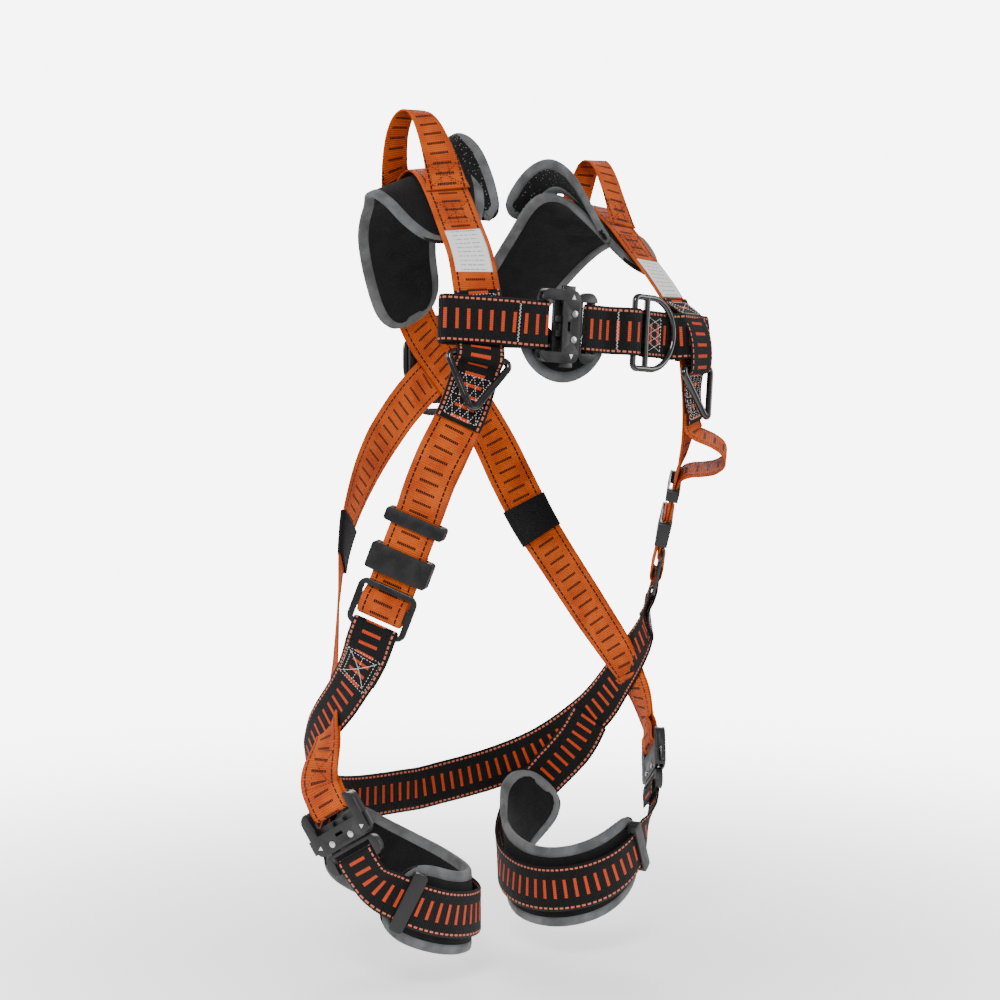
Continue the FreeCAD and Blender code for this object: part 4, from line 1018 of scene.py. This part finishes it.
def chest_pad():
    """A pad behind the chest buckle: half a circle and a straight edge at its end, bound all round."""
    turns = [pi - CHEST_PAD_START + pi * k / ARC_POINTS for k in range(ARC_POINTS + 1)]
    outline = [(CHEST_PAD_RADIUS * cos(a), CHEST_PAD_RADIUS * sin(a)) for a in turns]
    end_x, end_y = outline[-1]
    outline += [(end_x * (1 - 2 * k / EDGE_POINTS), end_y) for k in range(1, EDGE_POINTS)]

    def ring(share, sign):
        z = CHEST_PAD_Z + sign * crown(share, CHEST_PAD_THICK)
        return [chest_buckle @ Vector((x * share, CHEST_PAD_Y + (y - CHEST_PAD_Y) * share, z))
                for x, y in outline]

    inner = len(RING_SHARES) - 1
    rings = [ring(share, 1) for share in reversed(RING_SHARES)] + [ring(share, -1) for share in RING_SHARES]
    verts, faces = skin(rings)
    pinned = [k for k in range(len(verts)) if inner <= k // len(outline) <= inner + 1]
    piece = mesh_piece("chest_pad_cover", verts, faces, PAD_FACE, replaces=["chest_pad"])
    swollen(piece, 0.8 * MM, pinned)
    smooth = piece.modifiers.new("smooth", "SUBSURF")
    smooth.levels = smooth.render_levels = 1
    turn = chest_buckle.to_3x3()
    path = []
    for x, y in outline:
        inward = Vector((-x, CHEST_PAD_Y - y, 0)).normalized()
        path.append((chest_buckle @ Vector((x, y, CHEST_PAD_Z)), turn @ inward, turn @ Vector((0, 0, 1))))
    binding("chest_pad_binding", softened(path, 1),
            lambda x: crown(1 - x / CHEST_PAD_EASE, CHEST_PAD_THICK * 0.8))


for name in SIDES:
    pads(name)
chest_pad()


# -------------------- hardware

BEVEL_SEGMENTS, BEVEL_ANGLE, WELD = 3, radians(32), 0.00002
SPRING_NEAR = 45.0  # a buckle's springs lie within this of its middle


def smooth_faces(mesh, material):
    """Gives a mesh one material, and smooth shading."""
    mesh.materials.clear()
    mesh.materials.append(material)
    mesh.polygons.foreach_set("use_smooth", [True] * len(mesh.polygons))


def refined(node, material, bevel):
    """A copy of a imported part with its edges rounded, standing for it."""
    piece = added(node + "_shown", frame["nodes"][node].data.copy())
    smooth_faces(piece.data, material)
    weld = piece.modifiers.new("weld", "WELD")
    weld.merge_threshold = WELD
    edge = piece.modifiers.new("edge", "BEVEL")
    edge.width, edge.segments = bevel * MM, BEVEL_SEGMENTS
    edge.limit_method, edge.angle_limit = "ANGLE", BEVEL_ANGLE
    edge.harden_normals = True
    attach(piece, body_of[node])
    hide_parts(node)


body_of = {node: body for body, nodes in frame["record"]["behaviour"]["bodies"].items() for node in nodes}
for buckle in BUCKLES:
    for part, bevel in (("base", 0.8), ("cover", 1.6), ("tongue", 1.1)):
        refined(f"{buckle}_{part}", MATT, bevel)
    for part in ("tab_a", "tab_b"):
        refined(f"{buckle}_{part}", SATIN, 0.5)
    refined(buckle + "_rivets", STEEL, 0.25)
for name in SIDES:
    refined("adjuster_frame_" + name, MATT, 0.9)
    refined("adjuster_grip_" + name, NYLON, 0.9)
    refined("strap_keeper_" + name, NYLON, 1.0)
    refined("leg_keeper_" + name, NYLON, 0.9)
refined("dorsal_plate", NYLON, 1.2)
for node in ("front_ring_r", "front_ring_l", "dorsal_ring", "chest_ring"):
    smooth_faces(frame["nodes"][node].data, GLOSS)


def tab_springs():
    """The coil under each tab, as a piece of its own."""
    coils = frame["nodes"]["tab_springs"]
    points = [coils.matrix_world @ v.co / MM for v in coils.data.vertices]
    for buckle, place in BUCKLES.items():
        local = [place.inverted() @ p for p in points]
        for tab, sign in (("a", 1), ("b", -1)):
            near = [p.length < SPRING_NEAR and sign * p.y > 0 for p in local]
            faces = [f.vertices[:] for f in coils.data.polygons if all(near[v] for v in f.vertices)]
            used = sorted({v for f in faces for v in f})
            order = {v: i for i, v in enumerate(used)}
            piece = mesh_piece(f"{buckle}_spring_{tab}", [points[v] for v in used],
                               [[order[v] for v in f] for f in faces], WIRE,
                               replaces=("tab_springs",))
            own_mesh(piece)


tab_springs()

# -------------------- sewing

HALF_BOX = 16.0  # half the width of a sewn box
LOOP_BOX = 15.0  # the same, on a shoulder loop's narrow foot
BEHIND_LABEL = 322  # upright height of a loop's front foot, above the label
SEAT_BOX, SEAT_BOX_LONG = 92.0, 34.0  # from the seat strap's end to its sewn box, and that box's length
INSET = 3.5  # of the seat strap's inner box, along it
TACK, TACK_HALF, TACK_TURNS, TACK_REACH = 58.0, 18.0, 22, 1.1  # a bartack's place and size
EYE_HALF = 9.0  # half the length of the lattice in the chest ring
COVER_TOP, MARK_PLACE = 11.0, 25.5  # a cover's top, and the foot of each arrow on it
MARK_HALF, MARK_LONG, MARK_ASIDE = 2.2, 4.4, 1.5


def lattice(group, name, start, end):
    """Two crossed zigzags between two lines, so that diamonds show across a band."""
    for lines in ((start, end), (end, start)):
        zigzag(group, name, lines, HALF_BOX, 4, 1.9, 0.7)


def across(group, name, *places):
    """Lines of stitches straight across a band."""
    for place in places:
        sew(group, name, [(place, -HALF_BOX), (place, HALF_BOX)])


def sew_patch(name):
    """Two fields of lattice under a front ring, and a crossed box at the top."""
    patch = "ring_patch_" + name
    white = ("white", patch)
    for start, end in ((5.0, 24.0), (26.0, 47.0)):
        lattice(white, patch, start, end)
        across(white, patch, start)
        for edge in (-HALF_BOX, HALF_BOX):
            sew(white, patch, [(start, edge), (end, edge)])
    across(white, patch, 47.0)
    top = band_length(patch)
    box_stitch(white, patch, top - 24.0, top - 5.0, HALF_BOX)


def sew_side(name):
    """The sewn boxes of one side's straps, its ring patch and its shoulder loop."""
    strap, leg, loop = (part + name for part in ("shoulder_strap_", "leg_strap_", "shoulder_loop_"))
    black = ("black", strap)
    run = run_near(strap, front_rows(name, [(BEHIND_LABEL, 0)])[0][0])
    box_stitch(black, strap, run - 13.0, run + 13.0, HALF_BOX, 3)
    sew_patch(name)
    end = band_length(leg)
    box_stitch(("white", leg), leg, end - 34.0, end - 4.0, HALF_BOX)
    white, seat = ("white", "seat_strap"), "seat_strap"
    start = SEAT_BOX if name == "r" else band_length(seat) - SEAT_BOX - SEAT_BOX_LONG
    end = start + SEAT_BOX_LONG
    box_stitch(white, seat, start, end, HALF_BOX + 1.2)
    box_stitch(white, seat, start + INSET, end - INSET, HALF_BOX - 2.6, 1)
    hip = run_near(strap, leg_buckle["l" if name == "r" else "r"] @ Vector((-80, 0, 4)))
    box_stitch(black, strap, hip - 14.0, hip + 20.0, HALF_BOX)
    foot = band_length(loop)
    box_stitch(("black", loop), loop, foot - 22.0, foot - 4.0, LOOP_BOX)
    box_stitch(("black", loop), loop, 4.0, 26.0, LOOP_BOX, 2)


def sew_chest():
    """A dense bartack on each side of the buckle, and a lattice that shows in the chest ring."""
    for name, side in SIDES.items():
        strap = "chest_strap_" + name
        tack = run_near(strap, chest_buckle @ Vector((side * TACK, 0, 5)), 60.0)
        lines = (tack - TACK_REACH, tack + TACK_REACH)
        zigzag(("white", strap), strap, lines, TACK_HALF, TACK_TURNS, 2.4, 0.05)
    eye = run_near("chest_strap_l", chest_ring_frame @ Vector((16, 0, 0)), 90.0)
    white = ("white", "chest_strap_l_end")
    lattice(white, "chest_strap_l", eye - EYE_HALF, eye + EYE_HALF)
    across(white, "chest_strap_l", eye - EYE_HALF, eye + EYE_HALF)


def buckle_marks():
    """Two small raised arrows on each cover, which point at the tabs."""
    arrow = [(-MARK_HALF, 0.0), (MARK_HALF, 0.0), (0.0, MARK_LONG)]
    for buckle, place in BUCKLES.items():
        verts, faces = [], []
        for sign in (1, -1):
            base = len(verts)
            for z in (COVER_TOP - 0.2, COVER_TOP + 0.15):
                verts += [place @ Vector((x - MARK_ASIDE, sign * (MARK_PLACE + y), z)) for x, y in arrow]
            faces += [(base, base + 1, base + 2), (base + 5, base + 4, base + 3)]
            for k in range(3):
                j = (k + 1) % 3
                faces.append((base + k, base + 3 + k, base + 3 + j, base + j))
        mesh_piece(buckle + "_arrows", verts, faces, PRINT, smooth=False)


for name in SIDES:
    sew_side(name)
sew_chest()
finish_threads()
buckle_marks()
camera()
lights()
backdrop()
floor()
